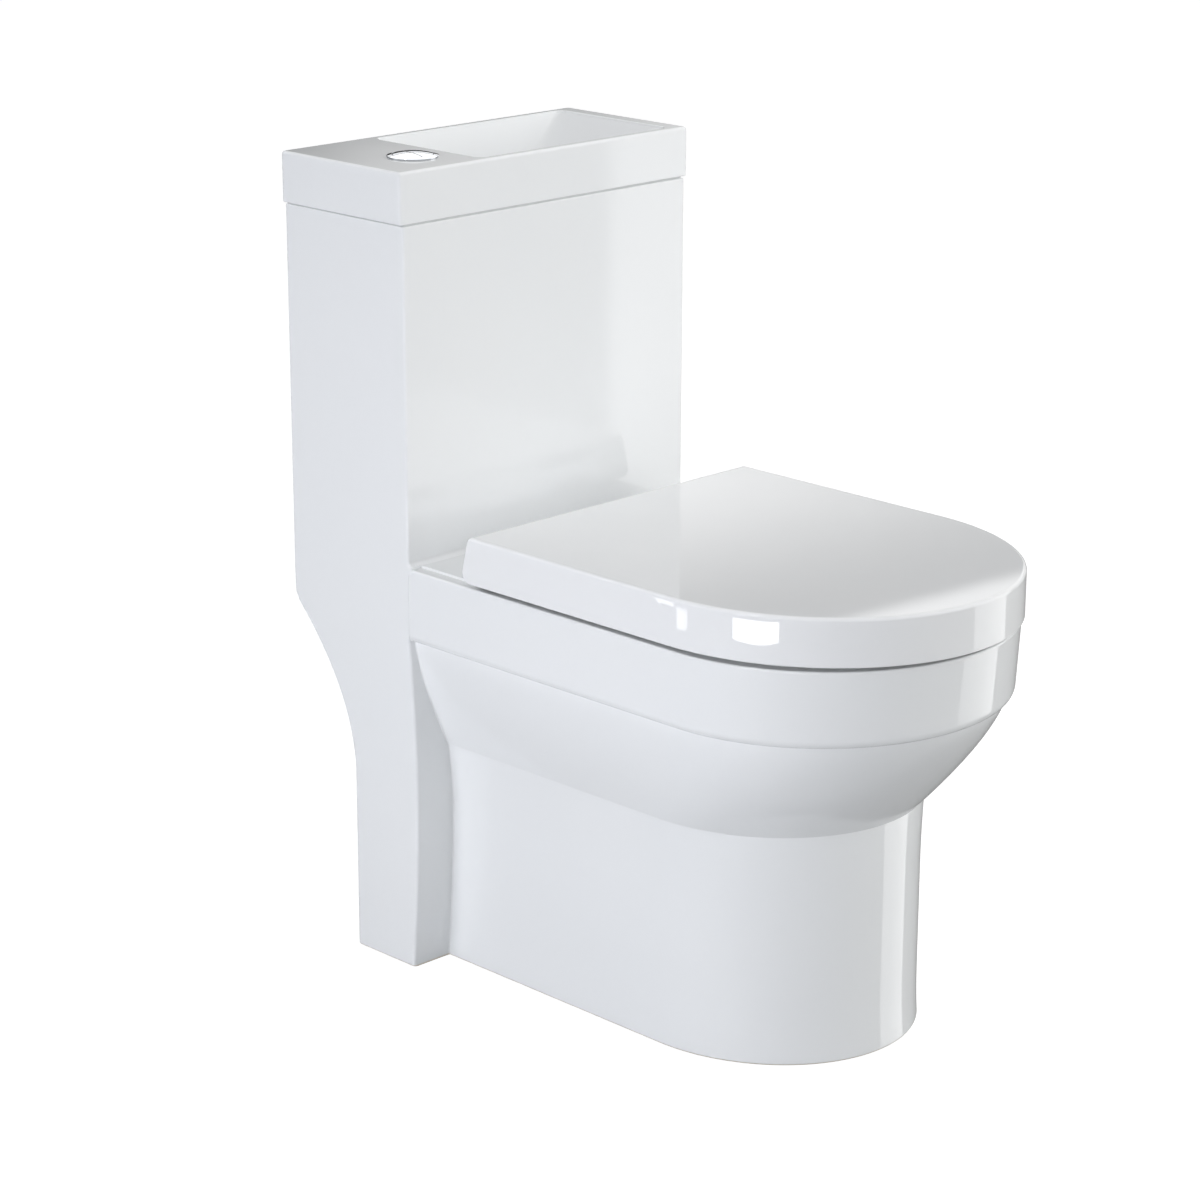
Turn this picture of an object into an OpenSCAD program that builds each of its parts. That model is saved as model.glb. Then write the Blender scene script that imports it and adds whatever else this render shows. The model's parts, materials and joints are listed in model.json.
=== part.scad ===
// Toilet with a wash basin on its cistern.
// The wall is behind it, the floor is at z = 0 and it faces -Y.
// Inside the modules y = 0 is the wall; at_wall() then centres the whole on the origin.

/* [Overall] */
// Depth from the wall to the front of the lid
overall_d = 695; // [685:1:715]
// Height of the basin above the floor
overall_h = 767; // [760:1:790]
// Height of the pan's rim above the floor
rim_h = 400; // [395:1:406]

/* [Basin] */
// Width of the basin slab
basin_w = 370; // [366:1:390]
// Height of the basin slab
basin_h = 48; // [44:1:54]
// Radius of the slab's upright corners
basin_corner_r = 3; // [2.5:0.5:8]
// Radius of the slab's top edge
basin_edge_r = 3; // [2:0.5:4]
// Thickness of the basin's ware
basin_wall = 9; // [8:0.5:10]
// Width of the flat deck that holds the flush button
basin_deck_w = 107; // [104:1:112]
// Width of the rim right of the bowl
basin_side_rim = 19; // [16:1:24]
// Width of the rims in front of and behind the bowl
basin_rim = 10; // [9:0.5:12]
// Radius of the bowl's upright corners
bowl_corner_r = 9; // [7:1:12]
// Depth of the bowl below the slab's top
basin_bowl_depth = 62; // [58:1:66]
// How far the bowl's right wall slopes inwards
bowl_slope_run = 66; // [58:1:72]
// Bore of the drain hole in the bowl
drain_bore_r = 22; // [21:0.5:24]
// Drain's distance right of the middle of the bowl's floor
drain_offset = 0; // [-4:1:4]

/* [Cistern] */
// Depth of the cistern and of the basin on it
cistern_d = 165; // [160:1:172]
// How far the basin stands out at each side
basin_overhang = 3.5; // [2:0.5:5]
// Thickness of the cistern's walls
cistern_wall = 11; // [10:0.5:12]
// Radius of the cistern's upright edges
cistern_edge_r = 2.5; // [2:0.5:6]
// Thickness of the seal under the basin
seal_t = 1.5; // [1:0.25:2.5]
// Width of that seal
seal_w = 7; // [5:0.5:8]
// Depth of the tank's floor below the rim
tank_floor_drop = 28; // [26:1:30]
// Thickness of the tank's floor
tank_floor_t = 12; // [11:0.5:13]

/* [Pan] */
// Thickness of the pan's ware
ware_t = 12; // [10:0.5:13]
// How far the rim's sides lie inside the cistern's
rim_inset = 0.5; // [0.5:0.5:2.5]
// How far the rim's front lies behind the lid's front
rim_setback = 5; // [2:1:11]
// Height of the upright band below the rim
band_h = 73; // [66:1:78]
// Radius of the band's lower edge
band_r = 8; // [6:0.5:10]
// How far the band's front leans back towards its bottom
band_taper = 6; // [3:0.5:8]
// How far the belly's sides lie inside the cistern's, just under the band
belly_inset = 7.5; // [5.5:0.5:11.5]
// Height of the crease between belly and pedestal
crease_h = 219; // [210:1:228]
// How far the pedestal's sides lie inside the cistern's
pedestal_inset = 46; // [41.5:0.5:51.5]
// How far the pedestal's front lies behind the lid's front
pedestal_setback = 96; // [89:1:105]
// How far the pedestal flares out into the crease
crease_flare = 5; // [3:0.5:7]
// Distance from the lid's front back to where the pan's sides start to curve round
nose_depth = 188; // [183:1:195]
// How far the side panels' rear edge is set back near the floor
rear_recess = 84; // [76:1:90]
// Height at which that setback starts
rear_recess_top = 338; // [332:1:346]
// Height below which that setback is full
rear_recess_low = 175; // [165:1:185]
// Extra depth of the side panels at mid height
leg_bulge = 8; // [5:0.5:10]
// Half the width of the bowl's mouth
mouth_half_w = 118; // [114:1:121]
// Distance from the lid's front back to the front of the mouth
mouth_setback = 63; // [59:1:69]
// Distance from the wall to the back of the mouth
mouth_rear = 333; // [328:1:338]
// Radius of the trapway
trap_r = 34; // [32:0.5:35]
// Thickness of the trapway's wall
trap_wall = 9; // [8:0.5:10]
// Height of the weir that sets the water level in the bowl
weir_h = 204; // [198:1:208]
// Height of the outlet's centre
outlet_h = 180; // [174:1:186]
// Outside radius of the outlet spigot
outlet_r = 51; // [50:0.5:53]
// Inside radius of the outlet spigot
outlet_bore_r = 41; // [40:0.5:42]
// Distance from the wall to the end of the spigot
outlet_end = 112; // [106:1:120]
// Radius of the holes for the floor screws
floor_hole_r = 4.5; // [4:0.25:5]
// Distance from the wall to the floor screws
floor_hole_y = 118; // [112:1:124]

/* [Seat and lid] */
// How far the lid stands out beyond the cistern's sides
lid_overhang = 1; // [-0.5:0.5:2.5]
// Distance from the wall to the lid's back
lid_rear = 240; // [236:1:244]
// Height of the lid's top above the rim
lid_top = 46; // [45:0.5:48]
// Gap between the lid's lower edge and the rim
lid_gap = 2.5; // [2:0.25:3]
// Thickness of the lid
lid_t = 4; // [3:0.25:4.5]
// Radius of the lid's top edge
lid_edge_r = 3.5; // [2:0.25:5]
// How far the lid's back leans forward over its height
lid_lean = 13; // [10:0.5:15]
// Radius of the lid's rear lower corner
lid_heel_r = 10; // [9.5:0.25:11]
// Thickness of the seat
seat_t = 27; // [24:0.5:27.5]
// Gap between the seat and the rim, taken up by the buffers
seat_gap = 5; // [4.5:0.25:6]
// Space between the lid's wall and the seat
seat_side_gap = 2.5; // [2:0.25:3]
// Half the width of the seat's opening
seat_open_half_w = 112; // [108:1:116]
// Distance from the lid's front back to the seat's opening
seat_open_setback = 75; // [69:1:81]
// Distance from the wall to the back of the seat's opening
seat_open_rear = 346; // [342:1:352]
// Radius of the seat's edges
seat_edge_r = 6; // [4:0.5:8]

/* [Hinges] */
// Distance between the two hinge posts
hinge_spacing = 155; // [150:1:160]
// Height of the hinge axis above the rim
hinge_h = 22; // [21.5:0.25:22.5]
// Distance from the lid's back to the hinge axis
hinge_setback = 14; // [13:0.5:15]
// Radius of the hinge pins
hinge_pin_r = 3; // [2.5:0.25:3.5]
// Radius of the hinge knuckles
knuckle_r = 8; // [7.5:0.25:8.25]
// Length of a post's and of a lid knuckle
knuckle_l = 16; // [14:0.5:18]
// Length of a seat knuckle, which holds a damper
damper_knuckle_l = 40; // [36:1:44]
// Radius of the holes for the hinge bolts
hinge_hole_r = 7; // [6.5:0.25:8]

/* [Flush button] */
// Button's distance from the basin's left end
button_inset = 66; // [65:1:69]
// Button's distance from the wall
button_y = 109; // [104:1:112]
// Radius of the button's ring
ring_r = 24; // [23:0.5:26]
// Height of the button above the basin
ring_h = 4.5; // [3.5:0.5:6]
// Radius of the two button halves together
button_r = 19; // [18:0.5:19.5]
// Thickness of the ring's threaded sleeve
sleeve_t = 2.2; // [1.8:0.1:2.4]
// Travel of each button half
button_travel = 6; // [4:0.5:6.5]

/* [Flush valve] */
// Radius of the valve's opening in the tank's floor
valve_bore_r = 30; // [28:0.5:31]
// Height of the valve tower above the tank's floor
tower_h = 228; // [215:1:232]
// Outside radius of the valve tower
tower_r = 30; // [28:0.5:31]
// Outside radius of the overflow tube
overflow_r = 13; // [12:0.5:14]
// Length of a flush rocker's arm
rocker_arm = 18; // [17:0.5:19]

/* [Fill valve] */
// Fill valve's distance from the basin's right end
fill_inset = 63; // [59:1:69]
// Fill valve's distance from the wall
fill_y = 88; // [82:1:94]
// Height of the fill valve above the tank's floor
fill_h = 225; // [210:1:235]
// Radius of the inlet thread
inlet_r = 10.4775; // [10:0.05:11]
// Depth of the inlet's end below the tank's floor
inlet_l = 42; // [38:1:50]
// Radius of the shank that goes through the tank's floor
fill_shank_r = 12; // [11.5:0.25:13]
// Radius of the float
float_r = 32; // [29:0.5:33]
// Travel of the float
float_travel = 10; // [6:0.5:12]

/* [Hidden] */

$fn = 64;
eps = 0.01;
over = 1;
// Radial clearance of a running pin, of a loose hole, and between faces that move past each other
run_fit = 0.05;
loose_fit = 0.5;
face_gap = 0.3;

ware_colour = "white";
chrome_colour = "silver";
plastic_colour = "whitesmoke";
rubber_colour = "dimgray";
brass_colour = "goldenrod";

// Cistern
side_half_w = basin_w / 2 - basin_overhang;
cistern_top = overall_h - basin_h - seal_t;
tank_floor = rim_h - tank_floor_drop;
tank_under = tank_floor - tank_floor_t;
tank_half_w = side_half_w - cistern_wall;
tank_front = cistern_d - cistern_wall;
button_x = basin_w / 2 - button_inset;
fill_x = basin_w / 2 - fill_inset;

// Pan
rim_half_w = side_half_w - rim_inset;
belly_top_half_w = side_half_w - belly_inset;
pedestal_half_w = side_half_w - pedestal_inset;
rim_front = overall_d - rim_setback;
pedestal_front = overall_d - pedestal_setback;
nose_centre = overall_d - nose_depth;
mouth_front = overall_d - mouth_setback;
seat_open_front = overall_d - seat_open_setback;
band_z = rim_h - band_h;
pipe_space_half_w = side_half_w - ware_t;
pipe_space_d = cistern_d - 13;
skirt_rear = pipe_space_d + 14;
stand_d = cistern_d + 25;
foot_flare = 1.5;
foot_flare_h = 50;
rim_edge_r = 3;
leg_edge_r = 3;
leg_fillet_r = 4;
rim_slab_t = 15;
arc_steps = 14;

// ---------------------------------------------------------------- shared helpers

module at_wall() translate([0, overall_d / 2, 0]) children();

module rod_z(r, z0, z1) translate([0, 0, z0]) cylinder(r = r, h = z1 - z0);

module rod_x(r, x0, x1) translate([x0, 0, 0]) rotate([0, 90, 0]) cylinder(r = r, h = x1 - x0);

module rod_y(r, y0, y1) translate([0, y1, 0]) rotate([90, 0, 0]) cylinder(r = r, h = y1 - y0);

module ring_z(r_out, r_in, z0, z1) difference() {
  rod_z(r_out, z0, z1);
  rod_z(r_in, z0 - over, z1 + over);
}

module hex_nut(flats, bore, z0, z1) difference() {
  translate([0, 0, z0]) cylinder(r = flats / sqrt(3), h = z1 - z0, $fn = 6);
  rod_z(bore, z0 - over, z1 + over);
}

module block(x0, x1, y0, y1, z0, z1) translate([x0, y0, z0]) cube([x1 - x0, y1 - y0, z1 - z0]);

// A rectangle with round corners, as exact arcs
module rounded_plan(x0, x1, y0, y1, r) {
  translate([x0 + r, y0]) square([x1 - x0 - 2 * r, y1 - y0]);
  translate([x0, y0 + r]) square([x1 - x0, y1 - y0 - 2 * r]);
  for (x = [x0 + r, x1 - r], y = [y0 + r, y1 - r]) translate([x, y]) circle(r);
}

// A solid through a stack of rings that run anticlockwise seen from above, lowest ring first
module loft(rings) {
  n = len(rings[0]);
  m = len(rings);
  polyhedron(
    points = [for (ring = rings) each ring],
    faces = concat(
      [[for (i = [0 : n - 1]) i]],
      [[for (i = [n - 1 : -1 : 0]) (m - 1) * n + i]],
      [for (k = [0 : m - 2], i = [0 : n - 1])
        let (a = k * n + i, b = k * n + (i + 1) % n) [a, a + n, b + n, b]]),
    convexity = 10);
}

// An arc from angle a0 to a1 round (x, y)
function arc(x, y, r, a0, a1, steps) =
  [for (i = [0 : steps]) let (a = a0 + (a1 - a0) * i / steps) [x + r * cos(a), y + r * sin(a)]];

function rounded_ring(x0, x1, y0, y1, r, z, steps = 5) = [for (p = concat(
    arc(x1 - r, y0 + r, r, -90, 0, steps), arc(x1 - r, y1 - r, r, 0, 90, steps),
    arc(x0 + r, y1 - r, r, 90, 180, steps), arc(x0 + r, y0 + r, r, 180, 270, steps)))
  [p[0], p[1], z]];

function signed_power(v, e) = sign(v) * pow(abs(v), e);

// An egg-shaped ring: half width, rear and front distance from the wall, squareness of its ends
function egg_ring(half_w, rear, front, z, square_e = 2.2, steps = 40) =
  let (mid = (rear + front) / 2, half_l = (front - rear) / 2)
  [for (i = [0 : steps - 1]) let (a = 360 * i / steps)
    [half_w * signed_power(cos(a), 2 / square_e),
     -mid + half_l * signed_power(sin(a), 2 / square_e), z]];

function between(lo, v, hi) = min(max(v, lo), hi);

// ---------------------------------------------------------------- pan

// How far up the belly a height lies, 0 at the crease and 1 under the band
function belly_t(z) = between(0, (z - crease_h) / (band_z - crease_h), 1);

// Half the width of pedestal, belly and band
function pan_half_w(z) =
  z >= band_z + band_r ? rim_half_w :
  z >= band_z ? belly_top_half_w
    + (rim_half_w - belly_top_half_w) * sqrt(1 - pow((band_z + band_r - z) / band_r, 2)) :
  z >= crease_h ? pedestal_half_w + crease_flare
    + (belly_top_half_w - pedestal_half_w - crease_flare) * (1 - pow(1 - belly_t(z), 1.5)) :
  pedestal_half_w + crease_flare * pow(between(0, z / crease_h * 3.2 - 2.2, 1), 2)
    + foot_flare * pow(between(0, 1 - z / foot_flare_h, 1), 2);

// Distance from the wall to the front at each height
belly_top_front = rim_front - band_taper;
function pan_front(z) =
  z >= band_z ? rim_front - band_taper * (rim_h - z) / band_h
    - (band_r - 2) * (1 - sqrt(1 - pow(between(0, (band_z + band_r - z) / band_r, 1), 2))) :
  z >= crease_h ? pedestal_front
    + (belly_top_front - band_r + 2 - pedestal_front) * (1 - pow(1 - belly_t(z), 1.25)) :
  pedestal_front + foot_flare * pow(between(0, 1 - z / foot_flare_h, 1), 2);

// How far down the rear recess a height lies, 0 where it starts and 1 where it is full
function recess_t(z) =
  between(0, (rear_recess_top - z) / (rear_recess_top - rear_recess_low), 1);

// Distance from the wall to the side panels' rear and front edges
function leg_rear(z) =
  rear_recess * (1 - pow(1 - recess_t(z), 2));
function leg_front(z) = cistern_d + leg_bulge * sin(180 * between(0, z / band_z, 1)) + eps;

function shrink(z) = between(0, z - (rim_h - rim_edge_r), rim_edge_r);
function edge_inset(z) = rim_edge_r - sqrt(pow(rim_edge_r, 2) - pow(shrink(z), 2));

// One side of the pan's outline at height z, from the nose back to the wall
function pan_half_ring(z) =
  let (inset = edge_inset(z),
       w = pan_half_w(z) - inset,
       reach = pan_front(z) - inset - nose_centre,
       hs = max(side_half_w - inset, w + 0.3),
       step = hs - w,
       fillet = min(leg_fillet_r, step * 0.45),
       edge = min(leg_edge_r, step * 0.45),
       back = leg_rear(z),
       front = leg_front(z))
  concat(
    [for (i = [0 : arc_steps]) let (a = 90 * i / arc_steps)
      [w * sin(a), -nose_centre - reach * cos(a)]],
    arc(w + fillet, -front - fillet, fillet, 180, 90, 4),
    arc(hs - edge, -front + edge, edge, -90, 0, 3),
    arc(hs - leg_edge_r, -back - leg_edge_r, leg_edge_r, 0, 90, 3));

function pan_ring(z) =
  let (half = pan_half_ring(z), n = len(half))
  [for (i = [0 : 2 * n - 2])
    let (p = i < n ? half[i] : half[2 * n - 1 - i]) [i < n ? p[0] : -p[0], p[1], z]];

pan_levels = concat(
  [for (t = [0, 0.07, 0.15, 0.24, 0.45, 0.68, 0.78, 0.87, 0.94, 1]) t * crease_h],
  [for (t = [0.05, 0.13, 0.24, 0.37, 0.52, 0.68, 0.84, 1])
    crease_h + t * (band_z - crease_h)],
  [for (a = [25, 45, 65, 90]) band_z + band_r * (1 - cos(a))],
  [rear_recess_top, rim_h - rim_edge_r],
  [for (a = [35, 65, 90]) rim_h - rim_edge_r + rim_edge_r * sin(a)]);

// The bowl, as [depth below the rim, half width, share of the mouth's length, rear]
function mouth_share(share) = mouth_rear + share * (mouth_front - mouth_rear);
function bowl_rings(grow, mouth_z) = [for (row = [
    [rim_h - sump_z, trap_r, sump_y + trap_r, sump_y - trap_r],
    [250, 40, mouth_share(0.184), 302],
    [222, 44, mouth_share(0.224), 304],
    [196, 52, mouth_share(0.308), 304],
    [168, 66, mouth_share(0.445), 304],
    [138, 82, mouth_share(0.599), 306],
    [106, 98, mouth_share(0.746), 311],
    [72, 111, mouth_share(0.88), 317],
    [42, mouth_half_w, mouth_front - 12, mouth_rear - 12],
    [24, mouth_half_w + 2, mouth_front - 1, mouth_rear - 4],
    [rim_h - mouth_z, mouth_half_w, mouth_front, mouth_rear]])
  egg_ring(row[1] + grow, row[3] - grow, row[2] + grow, rim_h - row[0])];

// The trapway's line: from the sump back under the bowl, up the riser, over the weir and down
sump_y = 345;
sump_z = 106;
riser_y = 260;
weir_y = 204;
trap_widening = 0.4;
trap_line = [[sump_y, sump_z], [riser_y, sump_z], [riser_y, weir_h + trap_r],
  [weir_y, weir_h + trap_r], [187, 196], [170, 182], [pipe_space_d - 2, outlet_h]];

// Each stretch of the trapway is a little wider than the one before it, so that nothing lodges
module trapway(r) for (i = [0 : len(trap_line) - 2]) {
  a = trap_line[i];
  b = trap_line[i + 1];
  rise = b[1] - a[1];
  run = a[0] - b[0];
  stretch_r = r + trap_widening * i;
  translate([0, -a[0], a[1]]) {
    sphere(r = stretch_r, $fn = 24);
    rotate([-atan2(run, rise), 0, 0]) cylinder(r = stretch_r, h = norm([run, rise]), $fn = 24);
  }
}

// The duct that leads the flush from the valve to the back of the bowl
duct_r = 20;
duct_wall = 8;
duct_z = tank_under - duct_r - duct_wall - 2;
duct_inset = 24;
duct_end = mouth_rear + duct_inset;
duct_reach = 30;
module flush_duct(r, more) {
  run = duct_end - button_y;
  translate([-button_x, -button_y, duct_z])
    rotate([90, 0, atan2(button_x, run)])
      cylinder(r = r, h = norm([button_x, run]) + more, $fn = 24);
}

valve_boss_r = valve_bore_r + 10;
valve_boss_z = duct_z - duct_r - duct_wall;

module skirt_hollow() {
  levels = [-over, 0.3 * crease_h, 0.75 * crease_h, crease_h, crease_h + 12,
    crease_h + 40, band_z - 20, band_z, rim_h - rim_slab_t];
  loft([for (z = levels)
    let (w = pan_half_w(z) - ware_t, reach = pan_front(z) - ware_t - nose_centre)
    concat(
      [for (i = [-16 : 16]) let (a = 90 * i / 16)
        [w * sin(a), -nose_centre - reach * cos(a), z]],
      [[w, -skirt_rear, z], [-w, -skirt_rear, z]])]);
}

// The bowl, the trapway and the duct as hollows in the ware, and as the walls round them
module ware_hollows() {
  loft(concat(bowl_rings(0, rim_h), [egg_ring(mouth_half_w, mouth_rear, mouth_front,
    rim_h + over)]));
  trapway(trap_r);
  flush_duct(duct_r, duct_reach);
}

module passage_walls() {
  trapway(trap_r + trap_wall);
  flush_duct(duct_r + duct_wall, 0);
}

module outer_body() loft([for (z = pan_levels) pan_ring(z)]);

module behind(y, z0, z1) block(-side_half_w - over, side_half_w + over, -y, over, z0, z1);

// The front of the one-piece ware: pedestal, belly and rim
module pan_casting() difference() {
  outer_body();
  skirt_hollow();
  ware_hollows();
  behind(stand_d, -over, rim_h + over);
}

module pan() color(ware_colour) at_wall() difference() {
  resize([0, 0, 0]) pan_casting();
  at_hinges() rod_z(hinge_hole_r, rim_h - rim_slab_t - over, rim_h + over);
}

// The bowl with its trapway and flush duct, inside the pan and fired in one with it
module bowl_casting() difference() {
  intersection() {
    union() {
      loft(bowl_rings(ware_t - 2, rim_h - 6));
      passage_walls();
    }
    skirt_hollow();
  }
  ware_hollows();
}

module bowl() color(ware_colour) at_wall() resize([0, 0, 0]) bowl_casting();

// The room that the cistern takes behind the deck
module cistern_room() translate([0, 0, tank_floor]) linear_extrude(tank_floor_drop + over) {
  rounded_plan(-side_half_w, side_half_w, -cistern_d, 0, cistern_edge_r);
  translate([-side_half_w - over, -cistern_d + cistern_edge_r])
    square([2 * (side_half_w + over), cistern_d - cistern_edge_r + over]);
}

// The rear of the ware: side panels, tank floor, and the end of trapway and duct
module stand_casting() difference() {
  union() {
    difference() {
      intersection() {
        outer_body();
        behind(stand_d, -over, rim_h + over);
      }
      skirt_hollow();
      block(-pipe_space_half_w, pipe_space_half_w, -pipe_space_d, over, -over, tank_under);
    }
    intersection() {
      passage_walls();
      behind(skirt_rear - 4, 0, tank_under);
    }
    at_valve() translate([0, 0, valve_boss_z])
      cylinder(r = valve_boss_r, h = tank_under + 2 - valve_boss_z, $fn = 40);
  }
  ware_hollows();
  cistern_room();
}

floor_hole_x = pipe_space_half_w - 18;
floor_lug_t = 14;
floor_lug_w = 34;
module floor_lug() block(-floor_lug_w / 2, floor_lug_w / 2 + 3, -floor_lug_w / 2, floor_lug_w / 2,
  0, floor_lug_t);

module cistern_stand() color(ware_colour) at_wall() difference() {
  union() {
    resize([0, 0, 0]) stand_casting();
    translate([0, 0, outlet_h]) rod_y(outlet_r, -pipe_space_d - over, -outlet_end);
    for (side = [-1, 1]) translate([side * floor_hole_x, -floor_hole_y, 0])
      scale([side, 1, 1]) floor_lug();
  }
  translate([0, 0, outlet_h]) rod_y(outlet_bore_r, -skirt_rear - over, -outlet_end + over);
  at_valve() rod_z(valve_bore_r, duct_z, tank_floor + over);
  at_valve_bolts() rod_z(valve_bolt_r + loose_fit, tank_under - over, tank_floor + over);
  at_fill() rod_z(fill_shank_r + loose_fit, tank_under - over, tank_floor + over);
  for (x = [-floor_hole_x, floor_hole_x]) translate([x, -floor_hole_y, 0])
    rod_z(floor_hole_r, -over, floor_lug_t + over);
}

// ---------------------------------------------------------------- cistern and basin

tank_corner_r = 4;

module cistern() color(ware_colour) at_wall() translate([0, 0, tank_floor])
  linear_extrude(cistern_top - tank_floor) difference() {
    rounded_plan(-side_half_w, side_half_w, -cistern_d, 0, cistern_edge_r);
    rounded_plan(-tank_half_w, tank_half_w, -tank_front, -cistern_wall, tank_corner_r);
  }

seal_inset = 2;
module basin_seal() color(rubber_colour) at_wall() translate([0, 0, cistern_top])
  linear_extrude(seal_t) difference() {
    rounded_plan(-side_half_w + seal_inset, side_half_w - seal_inset,
      -cistern_d + seal_inset, -seal_inset, cistern_edge_r);
    rounded_plan(-side_half_w + seal_inset + seal_w, side_half_w - seal_inset - seal_w,
      -cistern_d + seal_inset + seal_w, -seal_inset - seal_w, tank_corner_r);
  }

slab_z = overall_h - basin_h;
slab_under = overall_h - basin_wall;
basin_skirt = basin_overhang + basin_wall;
bowl_left = -basin_w / 2 + basin_deck_w;
bowl_right = basin_w / 2 - basin_side_rim;
bowl_z = overall_h - basin_bowl_depth;
bowl_lip_r = 2;
low_edge_r = 1.5;

function slab_ring(inset, z) = rounded_ring(-basin_w / 2 + inset, basin_w / 2 - inset,
  -cistern_d + inset, -inset, basin_corner_r - inset * 0.6, z);

slab_rings = concat(
  [slab_ring(low_edge_r, slab_z), slab_ring(0.4, slab_z + 0.4), slab_ring(0, slab_z + low_edge_r)],
  [for (a = [0 : 22.5 : 90])
    slab_ring(basin_edge_r * (1 - cos(a)), overall_h - basin_edge_r * (1 - sin(a)))]);

// The bowl narrows like a hopper: [share of the slope, share of the depth, extra corner radius]
hopper = [[1.42, 1, 21], [1.2, 0.985, 21], [1.05, 0.92, 18], [0.95, 0.82, 15],
  [0.55, 0.46, 7], [0.08, 0.09, 1], [0, 0.03, 0]];
floor_share = hopper[0][0];
hopper_left = 27;
hopper_front = 14;
hopper_back = 31;

function hopper_ring(t, z, r, grow) = rounded_ring(
  bowl_left + hopper_left * t - grow, bowl_right - bowl_slope_run * t + grow,
  -cistern_d + basin_rim + hopper_front * t - grow, -basin_rim - hopper_back * t + grow,
  r + grow, z);

function hopper_rings(grow, drop) = [for (row = hopper)
  hopper_ring(row[0], overall_h - basin_bowl_depth * row[1] - drop, row[2] + bowl_corner_r, grow)];

bowl_lip = [for (a = [0, 30, 60, 90]) hopper_ring(0, overall_h - bowl_lip_r * (1 - sin(a)),
  bowl_corner_r, bowl_lip_r * (1 - cos(a)))];

drain_x = (bowl_left + bowl_right + (hopper_left - bowl_slope_run) * floor_share) / 2 + drain_offset;
drain_y = (cistern_d + (hopper_back - hopper_front) * floor_share) / 2;
module at_drain() at_wall() translate([drain_x, -drain_y, 0]) children();

module basin_casting() difference() {
  union() {
    difference() {
      loft(slab_rings);
      block(-basin_w / 2 + basin_skirt, basin_w / 2 - basin_skirt, -cistern_d + basin_skirt,
        -basin_skirt, slab_z - over, slab_under);
    }
    loft(concat(hopper_rings(basin_wall - 1, basin_wall - 1),
      [hopper_ring(0, slab_under + 2, bowl_corner_r, basin_wall - 1)]));
  }
  loft(concat(hopper_rings(0, 0), bowl_lip, [hopper_ring(0, overall_h + over, bowl_corner_r,
    bowl_lip_r + 0.2)]));
}

module basin() color(ware_colour) difference() {
  at_wall() resize([0, 0, 0]) basin_casting();
  at_drain() rod_z(drain_bore_r, bowl_z - basin_wall - over, bowl_z + over);
  at_button() rod_z(sleeve_r + loose_fit, slab_under - over, overall_h + over);
}

waste_flange_r = drain_bore_r + 8;
waste_r = drain_bore_r - loose_fit;
waste_bore_r = waste_r - 3;
waste_under = bowl_z - basin_wall + 1;
waste_l = 28;
waste_end = waste_under - waste_l;
waste_gasket_t = 3;

module basin_waste() color(chrome_colour) at_drain() {
  difference() {
    union() {
      rod_z(waste_flange_r, bowl_z, bowl_z + 2);
      rod_z(waste_r, waste_end, bowl_z + 1);
    }
    rod_z(waste_bore_r, waste_end - over, bowl_z + 3);
  }
  for (turn = [0, 90]) rotate([0, 0, turn + 45])
    block(-waste_bore_r - 0.5, waste_bore_r + 0.5, -1.5, 1.5, bowl_z - 4, bowl_z - 1);
}

module waste_gasket() color(rubber_colour) at_drain()
  ring_z(waste_r + 7, waste_r, waste_under - waste_gasket_t, waste_under);

module waste_backnut() color(brass_colour) at_drain()
  hex_nut(2 * waste_r + 12, waste_r, waste_under - waste_gasket_t - 9, waste_under - waste_gasket_t);

module waste_tailpipe() color(plastic_colour) at_drain() {
  ring_z(waste_r + 3, waste_r, waste_end - 2, waste_end + 12);
  ring_z(waste_r + 3, waste_bore_r, waste_end - 34, waste_end - 2);
}

// ---------------------------------------------------------------- flush button

sleeve_in_r = button_r + 0.4;
sleeve_r = sleeve_in_r + sleeve_t;
sleeve_z = overall_h - 34;
sleeve_floor_t = 3;
button_under = overall_h - 2;
split_x = -5;
split_gap = 0.4;
full_stem_x = 7;
half_stem_x = -12;
stem_r = 2.5;
stem_z = sleeve_z - button_travel + 1;
dome_r = 120;

module at_button() at_wall() translate([-button_x, -button_y, 0]) children();

module at_stem(x) translate([x, 0, 0]) children();

module button_ring() color(chrome_colour) at_button() {
  difference() {
    union() {
      translate([0, 0, overall_h]) rotate_extrude() polygon([[0, 0], [ring_r, 0],
        [ring_r, ring_h * 0.4], [ring_r - 0.8, ring_h * 0.8], [ring_r - 1.8, ring_h], [0, ring_h]]);
      rod_z(sleeve_r, sleeve_z, overall_h + over);
    }
    rod_z(sleeve_in_r, sleeve_z + sleeve_floor_t, overall_h + ring_h + over);
    for (x = [full_stem_x, half_stem_x]) at_stem(x)
      rod_z(stem_r + loose_fit, sleeve_z - over, sleeve_z + sleeve_floor_t + over);
  }
}

module button_locknut() color(plastic_colour) at_button()
  hex_nut(2 * sleeve_r + 7, sleeve_r, slab_under - 8, slab_under);

// One half of the split, slightly domed button: its cap and the stem below it
module button_half(x0, x1, stem_x) {
  intersection() {
    rod_z(button_r, button_under, overall_h + ring_h + 2);
    translate([0, 0, overall_h + ring_h + 0.5 - dome_r]) sphere(r = dome_r, $fn = 200);
    block(x0, x1, -ring_r, ring_r, button_under - over, overall_h + 2 * ring_h);
  }
  at_stem(stem_x) rod_z(stem_r, stem_z, button_under + over);
}

module full_flush_button() color(chrome_colour) at_button()
  button_half(split_x + split_gap, ring_r, full_stem_x);

module half_flush_button() color(chrome_colour) at_button()
  button_half(-ring_r, split_x - split_gap, half_stem_x);

module button_spring(stem_x) color(chrome_colour) at_button() at_stem(stem_x)
  ring_z(stem_r + 1.8, stem_r + 0.6, sleeve_z + sleeve_floor_t, button_under);

module full_button_spring() button_spring(full_stem_x);

module half_button_spring() button_spring(half_stem_x);

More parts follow.
